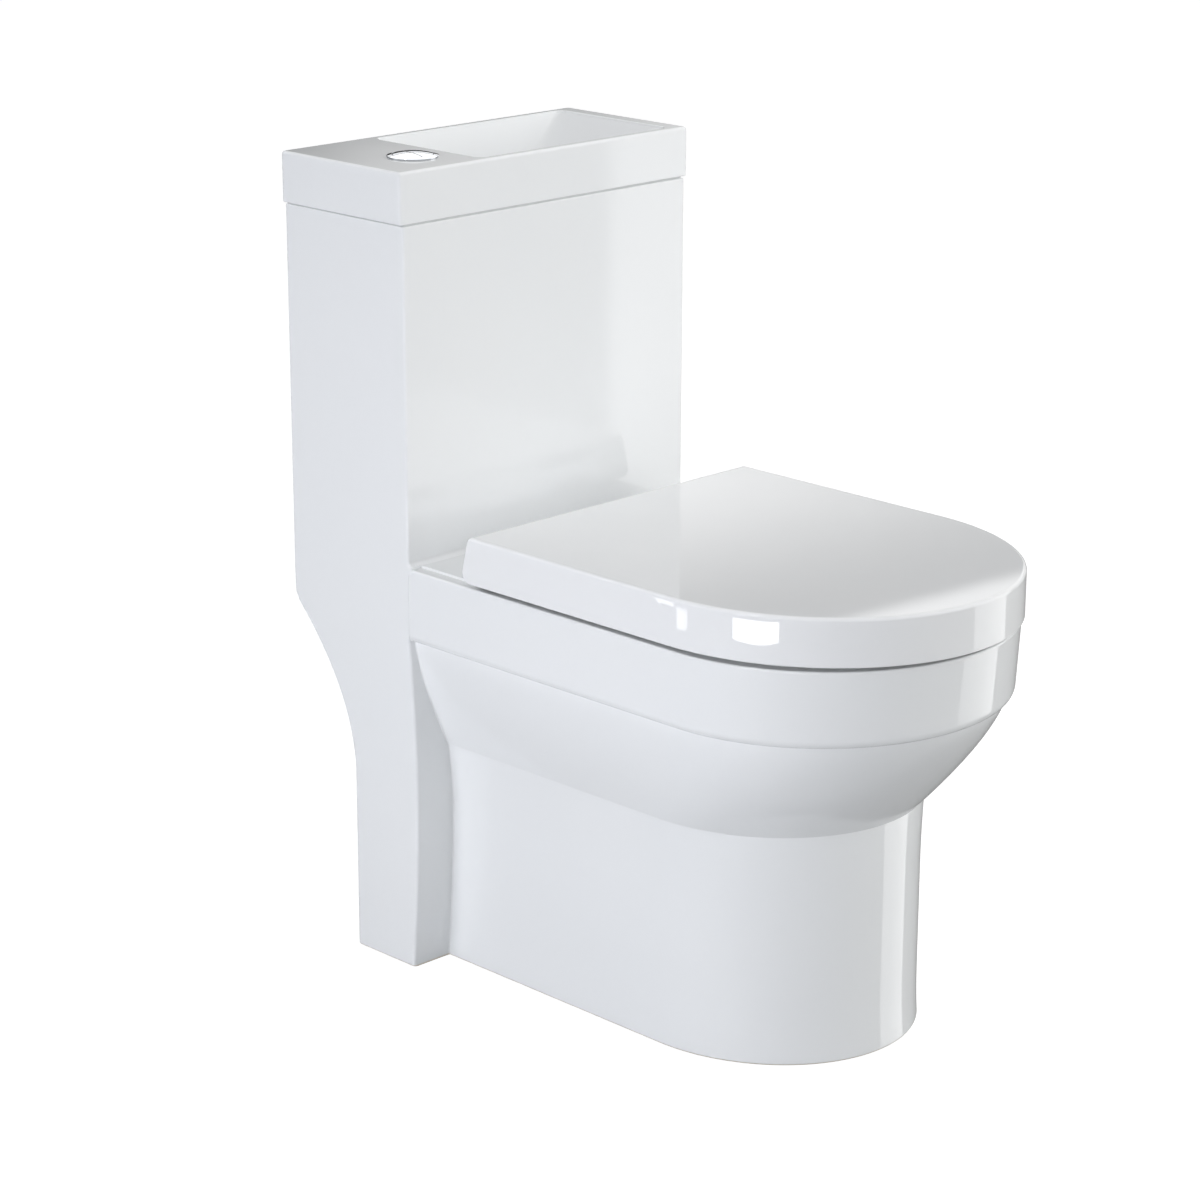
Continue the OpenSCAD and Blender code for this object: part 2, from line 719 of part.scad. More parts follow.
module push_rod(stem_x) color(plastic_colour) at_button() at_stem(stem_x) {
  rod_z(stem_r, rocker_z + 6, stem_z);
  rod_z(1, rocker_z + rocker_t / 2 + rod_gap, rocker_z + 6 + over);
}

module full_push_rod() push_rod(full_stem_x);

module half_push_rod() push_rod(half_stem_x);

// ---------------------------------------------------------------- flush valve

valve_gasket_t = 3;
valve_flange_w = 12;
valve_flange_r = valve_bore_r + valve_flange_w;
valve_flange_z = tank_floor + valve_gasket_t;
valve_flange_t = 5;
valve_lip_z = valve_flange_z + valve_flange_t;
valve_throat_r = valve_bore_r - 6;
valve_lip_h = 3;
valve_bolt_r = 2.5;
valve_bolt_ring = valve_flange_r + 6;
tower_in_r = tower_r + 1.5;
tower_out_r = tower_in_r + 2.5;
tower_z = tank_floor + tower_h - 8;
canister_z = valve_lip_z + 56;
seal_plate_r = valve_throat_r + 3;
rocker_t = 3;
rocker_w = 5.6;
rocker_z = tower_z + 20;
rocker_pin_r = 1.5;
rocker_gap = 0.4;
rod_gap = 0.4;
ear_t = 3;
hook_t = 3.6;
rocker_end = rocker_arm + 1;

module at_valve() translate([-button_x, -button_y, 0]) children();

module at_valve_bolts() at_valve() for (a = [30, 150]) rotate([0, 0, a])
  translate([valve_bolt_ring, 0, 0]) children();

module valve_plan(bore) difference() {
  union() {
    circle(valve_flange_r);
    for (a = [30, 150]) rotate([0, 0, a]) translate([valve_bolt_ring, 0]) circle(7);
  }
  circle(bore);
  for (a = [30, 150]) rotate([0, 0, a]) translate([valve_bolt_ring, 0]) circle(valve_bolt_r);
}

module valve_gasket() color(rubber_colour) at_wall() at_valve()
  translate([0, 0, tank_floor]) linear_extrude(valve_gasket_t) valve_plan(valve_bore_r);

module valve_seat() color(plastic_colour) at_wall() at_valve() difference() {
  union() {
    translate([0, 0, valve_flange_z]) linear_extrude(valve_flange_t) valve_plan(valve_throat_r);
    rod_z(seal_plate_r, valve_lip_z - over, valve_lip_z + valve_lip_h);
    rod_z(valve_bore_r - loose_fit, tank_under - 6, valve_flange_z + over);
  }
  rod_z(valve_throat_r, tank_under - 7, valve_lip_z + valve_lip_h + over);
}

module valve_bolts() color(brass_colour) at_wall() at_valve_bolts() {
  rod_z(valve_bolt_r, tank_under - 12, valve_lip_z + over);
  rod_z(valve_bolt_r + 2, valve_lip_z, valve_lip_z + 3);
}

module valve_nuts() color(brass_colour) at_wall() at_valve_bolts() {
  ring_z(valve_bolt_r + 2.7, valve_bolt_r, tank_under - 1.2, tank_under);
  hex_nut(8, valve_bolt_r, tank_under - 5.2, tank_under - 1.2);
}

// The tower: posts, a hollow canister and the ears that carry the rockers
module rocker_ears(x) for (side = [-1, 1])
  translate([x + side * (rocker_w / 2 + rocker_gap + ear_t / 2), rocker_arm, 0]) difference() {
    union() {
      block(-ear_t / 2, ear_t / 2, -4, 4, tower_z - over, rocker_z);
      translate([0, 0, rocker_z]) rod_x(4, -ear_t / 2, ear_t / 2);
    }
    translate([0, 0, rocker_z]) rod_x(rocker_pin_r, -ear_t, ear_t);
  }

vent_x = half_stem_x;
vent_y = rocker_arm * 2 + 4;
vent_r = 2;
vent_guide_z = tower_z - 30;

module valve_tower() color(plastic_colour) at_wall() at_valve() {
  ring_z(tower_out_r, seal_plate_r + 2, valve_lip_z, valve_lip_z + 3);
  for (a = [45 : 90 : 315]) rotate([0, 0, a]) translate([tower_in_r, 0, 0])
    rod_z(2.2, valve_lip_z + 1, canister_z + 1);
  ring_z(tower_out_r, tower_in_r, canister_z, tower_z);
  ring_z(tower_out_r, overflow_r + 0.4, canister_z, canister_z + 3);
  ring_z(tower_out_r, overflow_r + 1, tower_z - 3, tower_z);
  rocker_ears(full_stem_x);
  rocker_ears(half_stem_x);
  difference() {
    block(vent_x - 5, vent_x + 5, tower_in_r - 2, vent_y + 5, vent_guide_z, vent_guide_z + 4);
    translate([vent_x, vent_y, 0]) rod_z(vent_r + run_fit * 4, vent_guide_z - over, vent_guide_z + 5);
    rod_z(tower_in_r, vent_guide_z - over, vent_guide_z + 5);
  }
}

// The overflow tube with its seal plate, and the hook that the rocker lifts
tube_z = valve_flange_z + 1;
tube_top = tower_z + 5;
seal_z = valve_lip_z + valve_lip_h;
seal_pad_t = 3.5;

module lift_hook(x) {
  block(x - rocker_w / 2 + 0.2, x + rocker_w / 2 - 0.2, rocker_arm * 2 + 1.6,
    rocker_arm * 2 + 5, tube_top - 4, hook_z + hook_t);
  block(x - rocker_w / 2 + 0.2, x + rocker_w / 2 - 0.2, rocker_arm * 2 - 2,
    rocker_arm * 2 + 5, hook_z, hook_z + hook_t);
}
hook_z = rocker_z + rocker_t / 2 + rod_gap;

module overflow_tube() color(plastic_colour) at_wall() at_valve() {
  difference() {
    union() {
      rod_z(overflow_r, tube_z, tube_top);
      rod_z(seal_plate_r - 1, seal_z + seal_pad_t, seal_z + seal_pad_t + 2.5);
      rod_z(overflow_r + 0.5, tube_top - 4, tube_top);
      block(full_stem_x - rocker_w / 2 + 0.2, full_stem_x + rocker_w / 2 - 0.2, 6,
        rocker_arm * 2 + 5, tube_top - 4, tube_top);
      lift_hook(full_stem_x);
    }
    rod_z(overflow_r - 1.5, tube_z - over, tube_top + over);
  }
}

module flush_seal() color(rubber_colour) at_wall() at_valve()
  ring_z(seal_plate_r, overflow_r, seal_z + 0.2, seal_z + seal_pad_t);

module rocker(x) color(plastic_colour) at_wall() at_valve() translate([x, rocker_arm, rocker_z])
  difference() {
    union() {
      block(-rocker_w / 2, rocker_w / 2, -rocker_arm - 3, rocker_end, -rocker_t / 2, rocker_t / 2);
      rod_x(3.5, -rocker_w / 2, rocker_w / 2);
    }
    rod_x(rocker_pin_r + run_fit, -rocker_w, rocker_w);
  }

module full_flush_rocker() rocker(full_stem_x);

module half_flush_rocker() rocker(half_stem_x);

module rocker_pins() color(chrome_colour) at_wall() at_valve()
  for (x = [full_stem_x, half_stem_x]) translate([x, rocker_arm, rocker_z])
    rod_x(rocker_pin_r, -rocker_w / 2 - rocker_gap - ear_t, rocker_w / 2 + rocker_gap + ear_t);

module vent_rod() color(plastic_colour) at_wall() at_valve() translate([vent_x, 0, 0]) {
  translate([0, vent_y, 0]) {
    rod_z(vent_r, vent_guide_z - 18, hook_z + 1);
    rod_z(vent_r + 2, vent_guide_z - 20, vent_guide_z - 18);
  }
  block(-rocker_w / 2, rocker_w / 2, rocker_arm * 2 - 2, vent_y + vent_r, hook_z, hook_z + hook_t);
}

// ---------------------------------------------------------------- fill valve

fill_flange_r = 20;
fill_washer_t = 3;
fill_flange_z = tank_floor + fill_washer_t;
fill_stem_r = 12;
fill_nut_t = 9;
fill_head_z = tank_floor + fill_h - 35;
fill_head_r = 22;
lever_z = fill_head_z - 12.5;
lever_t = 3;
lever_back = 24;
lever_front = 28;
lever_bar_x = 15.5;
lever_pin_r = 1.5;
float_h = 58;
float_clear = 10;
float_z = lever_z - float_clear - float_travel - float_h;

module at_fill() translate([fill_x, -fill_y, 0]) children();

module fill_valve() color(plastic_colour) at_wall() at_fill() difference() {
  union() {
    rod_z(inlet_r, tank_floor - inlet_l, tank_under - fill_nut_t + over);
    rod_z(fill_shank_r, tank_under - fill_nut_t, fill_flange_z + over);
    rod_z(fill_flange_r, fill_flange_z, fill_flange_z + 4);
    rod_z(fill_stem_r, fill_flange_z + 3, fill_head_z);
  }
  rod_z(inlet_r - 3, tank_floor - inlet_l - over, fill_head_z - 6);
}

module fill_valve_washer() color(rubber_colour) at_wall() at_fill()
  ring_z(fill_flange_r, fill_shank_r, tank_floor, fill_flange_z);

module fill_valve_nut() color(plastic_colour) at_wall() at_fill()
  hex_nut(2 * fill_shank_r + 10, fill_shank_r, tank_under - fill_nut_t, tank_under);

module fill_valve_head() color(plastic_colour) at_wall() at_fill() {
  rod_z(fill_head_r, fill_head_z, fill_head_z + 24);
  rod_z(fill_head_r - 3, fill_head_z + 23, fill_head_z + 35);
  difference() {
    union() {
      block(-lever_bar_x - 5, lever_bar_x + 5, 8, lever_back + 4, fill_head_z, fill_head_z + 4);
      for (side = [-1, 1]) translate([side * (lever_bar_x + 3.5), lever_back, 0])
        block(-1.5, 1.5, -4, 4, lever_z - 4, fill_head_z + over);
    }
    translate([0, lever_back, lever_z]) rod_x(lever_pin_r, -30, 30);
  }
}

module float_lever() color(plastic_colour) at_wall() at_fill() difference() {
  union() {
    for (side = [-1, 1]) translate([side * lever_bar_x, 0, lever_z])
      block(-1.5, 1.5, -lever_front, lever_back + 2, -lever_t / 2, lever_t / 2);
    block(-lever_bar_x, lever_bar_x, -lever_front, 3 - lever_front, lever_z - lever_t / 2,
      lever_z + lever_t / 2);
    for (side = [-1, 1]) translate([side * lever_bar_x, lever_back, lever_z]) rod_x(3, -1.5, 1.5);
  }
  translate([0, lever_back, lever_z]) rod_x(lever_pin_r + run_fit, -30, 30);
}

module float_lever_pin() color(chrome_colour) at_wall() at_fill()
  translate([0, lever_back, lever_z]) rod_x(lever_pin_r, -lever_bar_x - 5, lever_bar_x + 5);

module float_cup() color(plastic_colour) at_wall() at_fill() {
  ring_z(float_r, fill_stem_r + 0.6, float_z, float_z + float_h);
  translate([0, 1.5 - lever_front, 0])
    rod_z(2, float_z + float_h - over, lever_z - lever_t / 2 - rod_gap);
}

// ---------------------------------------------------------------- hinges

hinge_x = hinge_spacing / 2;
hinge_y = lid_rear + hinge_setback;
hinge_z = rim_h + hinge_h;
knuckle_gap = 0.5;
gasket_t = 1;
post_base_r = 15;
post_base_t = 3;
post_d = 14;
bolt_r = 3;
bolt_top = gasket_t + post_base_t + 8;
sleeve_l = 40;
hinge_nut_flats = 12;
hinge_nut_t = 6;
lid_knuckle_x = knuckle_l / 2 + knuckle_gap;
pin_in = lid_knuckle_x + knuckle_l - 1;
pin_out = lid_knuckle_x + 12;
damper_r = 5.4;
damper_x = pin_out + face_gap;

// Both hinges, each with +X pointing away from the middle
module at_hinges() for (side = [-1, 1]) scale([side, 1, 1])
  translate([hinge_x, -hinge_y, 0]) children();

module at_hinge_axes() at_hinges() translate([0, 0, hinge_z]) children();

module hinge_posts() color(chrome_colour) at_wall() {
  at_hinges() difference() {
    union() {
      rod_z(post_base_r, rim_h + gasket_t, rim_h + gasket_t + post_base_t);
      block(-knuckle_l / 2, knuckle_l / 2, -post_d / 2, post_d / 2, rim_h + gasket_t + 1, hinge_z);
      translate([0, 0, hinge_z]) rod_x(knuckle_r, -knuckle_l / 2, knuckle_l / 2);
    }
    translate([0, 0, hinge_z]) rod_x(hinge_pin_r, -knuckle_l, knuckle_l);
    rod_z(bolt_r, rim_h, rim_h + bolt_top);
  }
}

module hinge_pins() color(chrome_colour) at_wall() at_hinge_axes()
  rod_x(hinge_pin_r, -pin_in, pin_out);

module hinge_gaskets() color(rubber_colour) at_wall() at_hinges()
  ring_z(post_base_r, bolt_r, rim_h, rim_h + gasket_t);

module hinge_bolts() color(brass_colour) at_wall() at_hinges() {
  rod_z(bolt_r, rim_h - sleeve_l - hinge_nut_t - 2, rim_h + bolt_top);
  hex_nut(hinge_nut_flats, bolt_r - eps, rim_h - sleeve_l - hinge_nut_t, rim_h - sleeve_l);
}

module hinge_sleeves() color(rubber_colour) at_wall() at_hinges()
  ring_z(hinge_hole_r - 0.1, bolt_r, rim_h - sleeve_l, rim_h);

// ---------------------------------------------------------------- seat and lid

lid_half_w = side_half_w + lid_overhang;
lid_z = rim_h + lid_gap;
lid_top_z = rim_h + lid_top;
lid_centre = overall_d - lid_half_w;
seat_z = rim_h + seat_gap;
seat_top_z = seat_z + seat_t;
seat_half_w = lid_half_w - lid_t - seat_side_gap;
heel_sweep = hinge_h - 0.5;
seat_rear = hinge_y + heel_sweep;
lid_crown_r = 6;
arm_h = 7;

// Half of a cross-section with its outer edges rounded
module edge_profile(half_w, z0, z1, top_r, low_r) {
  translate([0, z0]) square([half_w - top_r, z1 - z0]);
  translate([0, z0]) square([half_w - low_r, z1 - z0 - top_r]);
  translate([0, z0 + low_r]) square([half_w, z1 - z0 - top_r - low_r]);
  translate([half_w - top_r, z1 - top_r]) circle(top_r);
  if (low_r > 0) translate([half_w - low_r, z0 + low_r]) circle(low_r);
}

// A D in plan: straight sides back to `rear`, and a round front about `centre`
module d_solid(half_w, centre, rear, z0, z1, top_r, low_r = 0) {
  translate([0, -centre, 0]) rotate([0, 0, 180]) rotate_extrude(angle = 180)
    edge_profile(half_w, z0, z1, top_r, low_r);
  translate([0, -rear, 0]) rotate([90, 0, 0]) linear_extrude(centre - rear) {
    edge_profile(half_w, z0, z1, top_r, low_r);
    mirror([1, 0]) edge_profile(half_w, z0, z1, top_r, low_r);
  }
}

// The lid's side view: a back that leans forward between a round heel and a round crown
module lid_side(inset) {
  lean = atan2(lid_lean, lid_top - lid_gap);
  heel = lid_heel_r - inset;
  crown = lid_crown_r - inset;
  z0 = lid_z + (inset > 0 ? -over : 0);
  z1 = lid_top_z - inset;
  function line_y(z, off) = -lid_rear - (z - lid_z) * tan(lean) - off / cos(lean);
  heel_c = [line_y(lid_z + lid_heel_r, lid_heel_r), lid_z + lid_heel_r];
  crown_c = [line_y(lid_top_z - lid_crown_r, lid_crown_r), lid_top_z - lid_crown_r];
  out = [cos(lean), sin(lean)];
  polygon([[-overall_d - 10, z0], [heel_c[0], z0], [heel_c[0], heel_c[1] - heel],
    heel_c + heel * out, crown_c + crown * out, [crown_c[0], z1], [-overall_d - 10, z1]]);
  translate(heel_c) circle(heel);
  translate(crown_c) circle(crown);
}

module side_cut(half_w) translate([-half_w, 0, 0]) rotate([90, 0, 90])
  linear_extrude(2 * half_w) children();

notch_in = hinge_x - post_base_r - 1.5;
notch_out = hinge_x + lid_knuckle_x + damper_knuckle_l + 1;

module lid() color(ware_colour) at_wall() {
  difference() {
    intersection() {
      d_solid(lid_half_w, lid_centre, lid_rear - 5, lid_z, lid_top_z, lid_edge_r);
      side_cut(lid_half_w + 5) lid_side(0);
    }
    intersection() {
      d_solid(lid_half_w - lid_t, lid_centre, lid_rear - 5, lid_z - over, lid_top_z - lid_t, 1);
      side_cut(lid_half_w + 5) lid_side(lid_t);
    }
    for (side = [-1, 1]) scale([side, 1, 1])
      block(notch_in, notch_out, -hinge_y - 9, -lid_rear + 5, lid_z - over, lid_top_z - lid_t);
  }
  at_hinges() difference() {
    union() {
      translate([0, 0, hinge_z]) rod_x(knuckle_r, -lid_knuckle_x - knuckle_l, -lid_knuckle_x);
      block(-lid_knuckle_x - knuckle_l, -lid_knuckle_x, -knuckle_r, 0, hinge_z,
        lid_top_z - lid_t + 1);
    }
    translate([0, 0, hinge_z]) rod_x(hinge_pin_r + run_fit, -3 * knuckle_l, knuckle_l);
  }
}

module seat_opening_edge(half_w) {
  difference() {
    translate([0, seat_z - over]) square([half_w + seat_edge_r, seat_t + 2 * over]);
    translate([half_w, seat_z + 3]) square([seat_edge_r + over, seat_t - 3 - seat_edge_r]);
    translate([half_w + 3, seat_z]) square([seat_edge_r, 4]);
    translate([half_w + 3, seat_z + 3]) circle(3);
    translate([half_w + seat_edge_r, seat_top_z - seat_edge_r]) circle(seat_edge_r);
  }
}

module seat_opening_cut() {
  front_c = seat_open_front - seat_open_half_w;
  rear_c = seat_open_rear + seat_open_half_w;
  translate([0, -front_c, 0]) rotate([0, 0, 180]) rotate_extrude(angle = 180)
    seat_opening_edge(seat_open_half_w);
  translate([0, -rear_c, 0]) rotate_extrude(angle = 180) seat_opening_edge(seat_open_half_w);
  translate([0, -rear_c, 0]) rotate([90, 0, 0]) linear_extrude(front_c - rear_c) {
    seat_opening_edge(seat_open_half_w);
    mirror([1, 0]) seat_opening_edge(seat_open_half_w);
  }
}

module seat() color(ware_colour) at_wall() {
  difference() {
    d_solid(seat_half_w, lid_centre, seat_rear, seat_z, seat_top_z, seat_edge_r, 3);
    seat_opening_cut();
  }
  at_hinges() difference() {
    union() {
      translate([0, 0, hinge_z])
        rod_x(knuckle_r, lid_knuckle_x, lid_knuckle_x + damper_knuckle_l);
      block(lid_knuckle_x, lid_knuckle_x + damper_knuckle_l, hinge_y - seat_rear - over, 0,
        hinge_z - arm_h, hinge_z + arm_h);
    }
    translate([0, 0, hinge_z]) {
      rod_x(hinge_pin_r + run_fit, 0, damper_x + over);
      rod_x(damper_r, damper_x, lid_knuckle_x + damper_knuckle_l - 3);
    }
  }
}

module seat_dampers() color(plastic_colour) at_wall() at_hinge_axes()
  rod_x(damper_r, damper_x, lid_knuckle_x + damper_knuckle_l - 3);

// Rubber feet: one pair beside the opening near the back, one pair at the front
buffer_ring_r = (seat_half_w + seat_open_half_w) / 2;
buffer_turn = 38;
module at_buffers(r) {
  for (side = [-1, 1]) {
    translate([side * r, -seat_open_rear, 0]) children();
    translate([0, -lid_centre, 0]) rotate([0, 0, side * buffer_turn]) translate([0, -r, 0])
      rotate([0, 0, 90]) children();
  }
}

module buffer_plan(half_l, half_w) {
  square([2 * half_w, 2 * (half_l - half_w)], center = true);
  for (y = [half_w - half_l, half_l - half_w]) translate([0, y]) circle(half_w);
}

module seat_buffers() color(rubber_colour) at_wall() at_buffers((rim_half_w + mouth_half_w) / 2)
  translate([0, 0, rim_h]) linear_extrude(seat_gap) buffer_plan(16, 6);

module lid_buffers() color(rubber_colour) at_wall() at_buffers(buffer_ring_r)
  translate([0, 0, seat_top_z]) linear_extrude(lid_top_z - lid_t - seat_top_z) buffer_plan(10, 7);

pan();
bowl();
cistern_stand();
cistern();
basin();
basin_seal();
basin_waste();
waste_gasket();
waste_backnut();
waste_tailpipe();
button_ring();
button_locknut();
full_flush_button();
half_flush_button();
full_button_spring();
half_button_spring();
full_push_rod();
half_push_rod();
valve_seat();
valve_gasket();
valve_tower();
valve_bolts();
valve_nuts();
overflow_tube();
flush_seal();
full_flush_rocker();
half_flush_rocker();
rocker_pins();
vent_rod();
fill_valve();
fill_valve_head();
fill_valve_washer();
fill_valve_nut();
float_cup();
float_lever();
float_lever_pin();
seat();
seat_buffers();
lid();
lid_buffers();
hinge_posts();
hinge_pins();
hinge_gaskets();
hinge_bolts();
hinge_sleeves();
seat_dampers();
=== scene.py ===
"""A toilet with a wash basin on its cistern, dressed for a studio picture.

Shapes are worked out in wall millimetres: x to the right, d away from the wall, z up from the
floor. `placed` turns them into the frame's metres, where the object faces -Y.
"""

import json
import math
from functools import partial

import bmesh
import bpy
import numpy as np
from mathutils import Matrix, Vector


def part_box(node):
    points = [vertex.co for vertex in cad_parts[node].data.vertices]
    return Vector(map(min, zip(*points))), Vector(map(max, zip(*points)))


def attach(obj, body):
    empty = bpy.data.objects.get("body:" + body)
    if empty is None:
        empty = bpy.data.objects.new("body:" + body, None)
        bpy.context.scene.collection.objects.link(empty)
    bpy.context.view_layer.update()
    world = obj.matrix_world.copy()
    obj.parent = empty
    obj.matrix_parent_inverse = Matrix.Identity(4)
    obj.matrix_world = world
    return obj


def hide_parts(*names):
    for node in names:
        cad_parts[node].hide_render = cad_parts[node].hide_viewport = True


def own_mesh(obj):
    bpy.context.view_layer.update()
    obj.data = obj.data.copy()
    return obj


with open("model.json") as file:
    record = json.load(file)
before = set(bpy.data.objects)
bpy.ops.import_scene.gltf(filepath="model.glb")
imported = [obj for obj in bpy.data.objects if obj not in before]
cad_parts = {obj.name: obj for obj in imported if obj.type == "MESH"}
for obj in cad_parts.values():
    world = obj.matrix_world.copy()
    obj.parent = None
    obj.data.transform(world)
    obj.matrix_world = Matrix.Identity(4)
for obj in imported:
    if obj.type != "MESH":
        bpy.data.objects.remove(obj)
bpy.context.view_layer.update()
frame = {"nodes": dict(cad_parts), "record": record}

MM = 0.001
WALL_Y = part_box("cistern")[1].y


def top_of(node):
    """Height of a node's highest point, in millimetres."""
    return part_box(node)[1].z / MM


def front_of(node):
    """Distance from the wall to a node's foremost point, in millimetres."""
    return (WALL_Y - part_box(node)[0].y) / MM


def half_width_of(node):
    """Half the width of a node, in millimetres."""
    return (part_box(node)[1].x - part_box(node)[0].x) / 2 / MM


# ---- sizes, in wall millimetres

RIM_H = top_of("hinge_gaskets") - 1
CISTERN_TOP = top_of("cistern")
CISTERN_D = front_of("cistern")
SIDE_HALF_W = half_width_of("cistern")
RIM_FRONT = front_of("pan")
OVERALL_H = top_of("basin")
BASIN_HALF_W = half_width_of("basin")

RIM_HALF_W = 181
BAND_H = 73
BAND_Z = RIM_H - BAND_H
BAND_R = 8
BAND_TAPER = 6
BELLY_TOP_HALF_W = 174
BELLY_TOP_FRONT = RIM_FRONT - BAND_TAPER
CREASE_H = 219
CREASE_FLARE = 5
PEDESTAL_HALF_W = 135.5
PEDESTAL_FRONT = 599
FOOT_FLARE = 1.5
FOOT_FLARE_H = 50
FOOT_EDGE_R = 2.5
NOSE_CENTRE = 507
PEDESTAL_NOSE_BACK = 58
LEG_BULGE = 8
REAR_RECESS = 84
REAR_RECESS_TOP = 338
REAR_RECESS_LOW = 175
SOFT_START = 0.05
LEG_FILLET_R = 1.5
LEG_EDGE_R = 3
RIM_EDGE_R = 2.5
RIM_STEP = 2
RIM_STEP_IN = 9
CISTERN_EDGE_R = 2.5
COVE_R = 5
WARE_T = 12
TANK_WALL = 11
TANK_FLOOR = 372
TANK_UNDER = 360
PIPE_SPACE_HALF_W = SIDE_HALF_W - WARE_T
PIPE_SPACE_D = CISTERN_D - 13
SKIRT_REAR = PIPE_SPACE_D + 14
RIM_SLAB_T = 15
MOUTH_HALF_W = 118
MOUTH_FRONT = 632
MOUTH_REAR = 333
MOUTH_LIP_R = 4
TRAP_R = 34
TRAP_WALL = 9
SUMP_D = 345
SUMP_Z = 106
TRAP_LINE = [(SUMP_D, SUMP_Z), (260, SUMP_Z), (260, 238), (204, 238), (187, 196), (170, 182),
             (PIPE_SPACE_D - 2, 180)]
OUTLET_H = 180
OUTLET_R = 51
OUTLET_BORE_R = 41
OUTLET_END = 112
BOSS_R = 40
BOSS_Z = 302
FLOOR_HOLE_X = 151.5
FLOOR_HOLE_D = 118
FLOOR_HOLE_R = 4.5
FLOOR_LUG_HALF_W = 17
FLOOR_LUG_H = 14
FILL_X = 122
FILL_D = 88
FILL_BORE_R = 12.5
BUTTON_X = -119
BUTTON_D = 109
VALVE_BORE_R = 30
VALVE_BOLT_AT = 48
VALVE_BOLT_R = 3
DUCT_R = 20
DUCT_WALL = 8
DUCT_LINE = [(BUTTON_X, BUTTON_D, 330), (0, MOUTH_REAR + 24, 330)]

BASIN_H = 48
BASIN_EDGE_R = 3
BASIN_LOW_R = 1.5
BASIN_CORNER_R = 3
BASIN_WALL = 9
HOPPER_LEFT = -78
HOPPER_RIGHT = 166
HOPPER_RUN = 66
HOPPER_RIM = 10
HOPPER_DEPTH = 62
HOPPER_LIP_R = 2.5
DRAIN_X = 16.3
DRAIN_D = 94.6
DRAIN_BORE_R = 22
RING_R = 24
RING_H = 4.5
RING_NECK_R = 21.6
RING_MOUTH_R = 19.4
RING_BORE_R = 22.1
BUTTON_R = 19
BUTTON_SPLIT_X = BUTTON_X - 5
BUTTON_SPLIT = 0.4
DOME_R = 82
DOME_TOP = OVERALL_H + RING_H + 0.5
FULL_STEM_X = 7
HALF_STEM_X = -12
STEM_R = 2.5
STEM_HOLE_R = 3

HINGE_X = 77.5
HINGE_D = 254
HINGE_Z = 422
HINGE_BORE_R = 7
KNUCKLE_R = 8
PIN_R = 3
PIN_HOLE_R = 3.05
DAMPER_HOLE_R = 5.4
POST_HALF_W = 8
POST_FOOT_R = 15
POST_FOOT_H = 3
LID_KNUCKLE = (53, 69)
LID_NOTCH = (61, 127)
SEAT_KNUCKLE = (86, 126)
SEAT_PIN_HOLE = (80, 99)
SEAT_DAMPER_HOLE = (98.3, 123)
LID_HALF_W = half_width_of("lid")
LID_FRONT = front_of("lid")
LID_CENTRE = LID_FRONT - LID_HALF_W
LID_NOSE_START = LID_CENTRE - 14
LID_TOP = top_of("lid")
LID_Z = RIM_H + 2.2
LID_REAR = 236.5
LID_LEAN = math.atan2(11, LID_TOP - LID_Z)
LID_T = 4
LID_EDGE_R = 3.5
LID_LOW_R = 0.6
LID_CORNER_R = 1.5
HEEL_R = 10
CROWN_R = 6
SEAT_HALF_W = half_width_of("seat")
SEAT_FRONT = front_of("seat")
SEAT_REAR = 275.5
SEAT_Z = RIM_H + 5
SEAT_TOP = SEAT_Z + 27
SEAT_EDGE_R = 6
SEAT_LOW_R = 3
SEAT_CORNER_R = 9
SEAT_OPEN_HALF_W = 112
SEAT_OPEN_FRONT = 620
SEAT_OPEN_REAR = 346
PAD_TURN = 38

# ---- helpers

ON_AXIS = 1e-6


def placed(points):
    """Wall millimetres to the frame's metres."""
    p = np.asarray(points, float).reshape(-1, 3)
    return np.column_stack([p[:, 0] * MM, WALL_Y - p[:, 1] * MM, p[:, 2] * MM])


def between(low, value, high):
    return min(max(value, low), high)


def on_side(side, span):
    """A span of x that is given for the right, on the right (1) or on the left (-1)."""
    return sorted(side * x for x in span)


def linked(name, data):
    """A new object in the scene."""
    obj = bpy.data.objects.new(name, data)
    bpy.context.scene.collection.objects.link(obj)
    return obj


def new_mesh(name, points, faces):
    """A mesh object from wall millimetres, with its faces turned outwards."""
    mesh = bpy.data.meshes.new(name)
    mesh.from_pydata([tuple(p) for p in placed(points)], [], faces)
    obj = linked(name, mesh)
    face_outwards(obj)
    return obj


def face_outwards(obj):
    work = bmesh.new()
    work.from_mesh(obj.data)
    bmesh.ops.remove_doubles(work, verts=work.verts, dist=1e-6)
    bmesh.ops.recalc_face_normals(work, faces=work.faces)
    work.to_mesh(obj.data)
    work.free()


def loft(name, rings):
    """A closed solid through a stack of rings with the same number of points each."""
    count = len(rings[0])
    points = [p for ring in rings for p in ring]
    faces = [tuple(range(count)), tuple(range(len(points) - count, len(points)))]
    for k in range(len(rings) - 1):
        for i in range(count):
            a, b = k * count + i, k * count + (i + 1) % count
            faces.append((a, b, b + count, a + count))
    return new_mesh(name, points, faces)


def arc(x, y, r, start, end, steps=6):
    """Points on an arc, with its angles in degrees."""
    turns = [math.radians(start + (end - start) * i / steps) for i in range(steps + 1)]
    return [(x + r * math.cos(a), y + r * math.sin(a)) for a in turns]


def rounded_rect(x0, x1, d0, d1, r, z, steps=6):
    corners = (arc(x1 - r, d0 + r, r, -90, 0, steps) + arc(x1 - r, d1 - r, r, 0, 90, steps)
               + arc(x0 + r, d1 - r, r, 90, 180, steps) + arc(x0 + r, d0 + r, r, 180, 270, steps))
    return [(x, d, z) for x, d in corners]


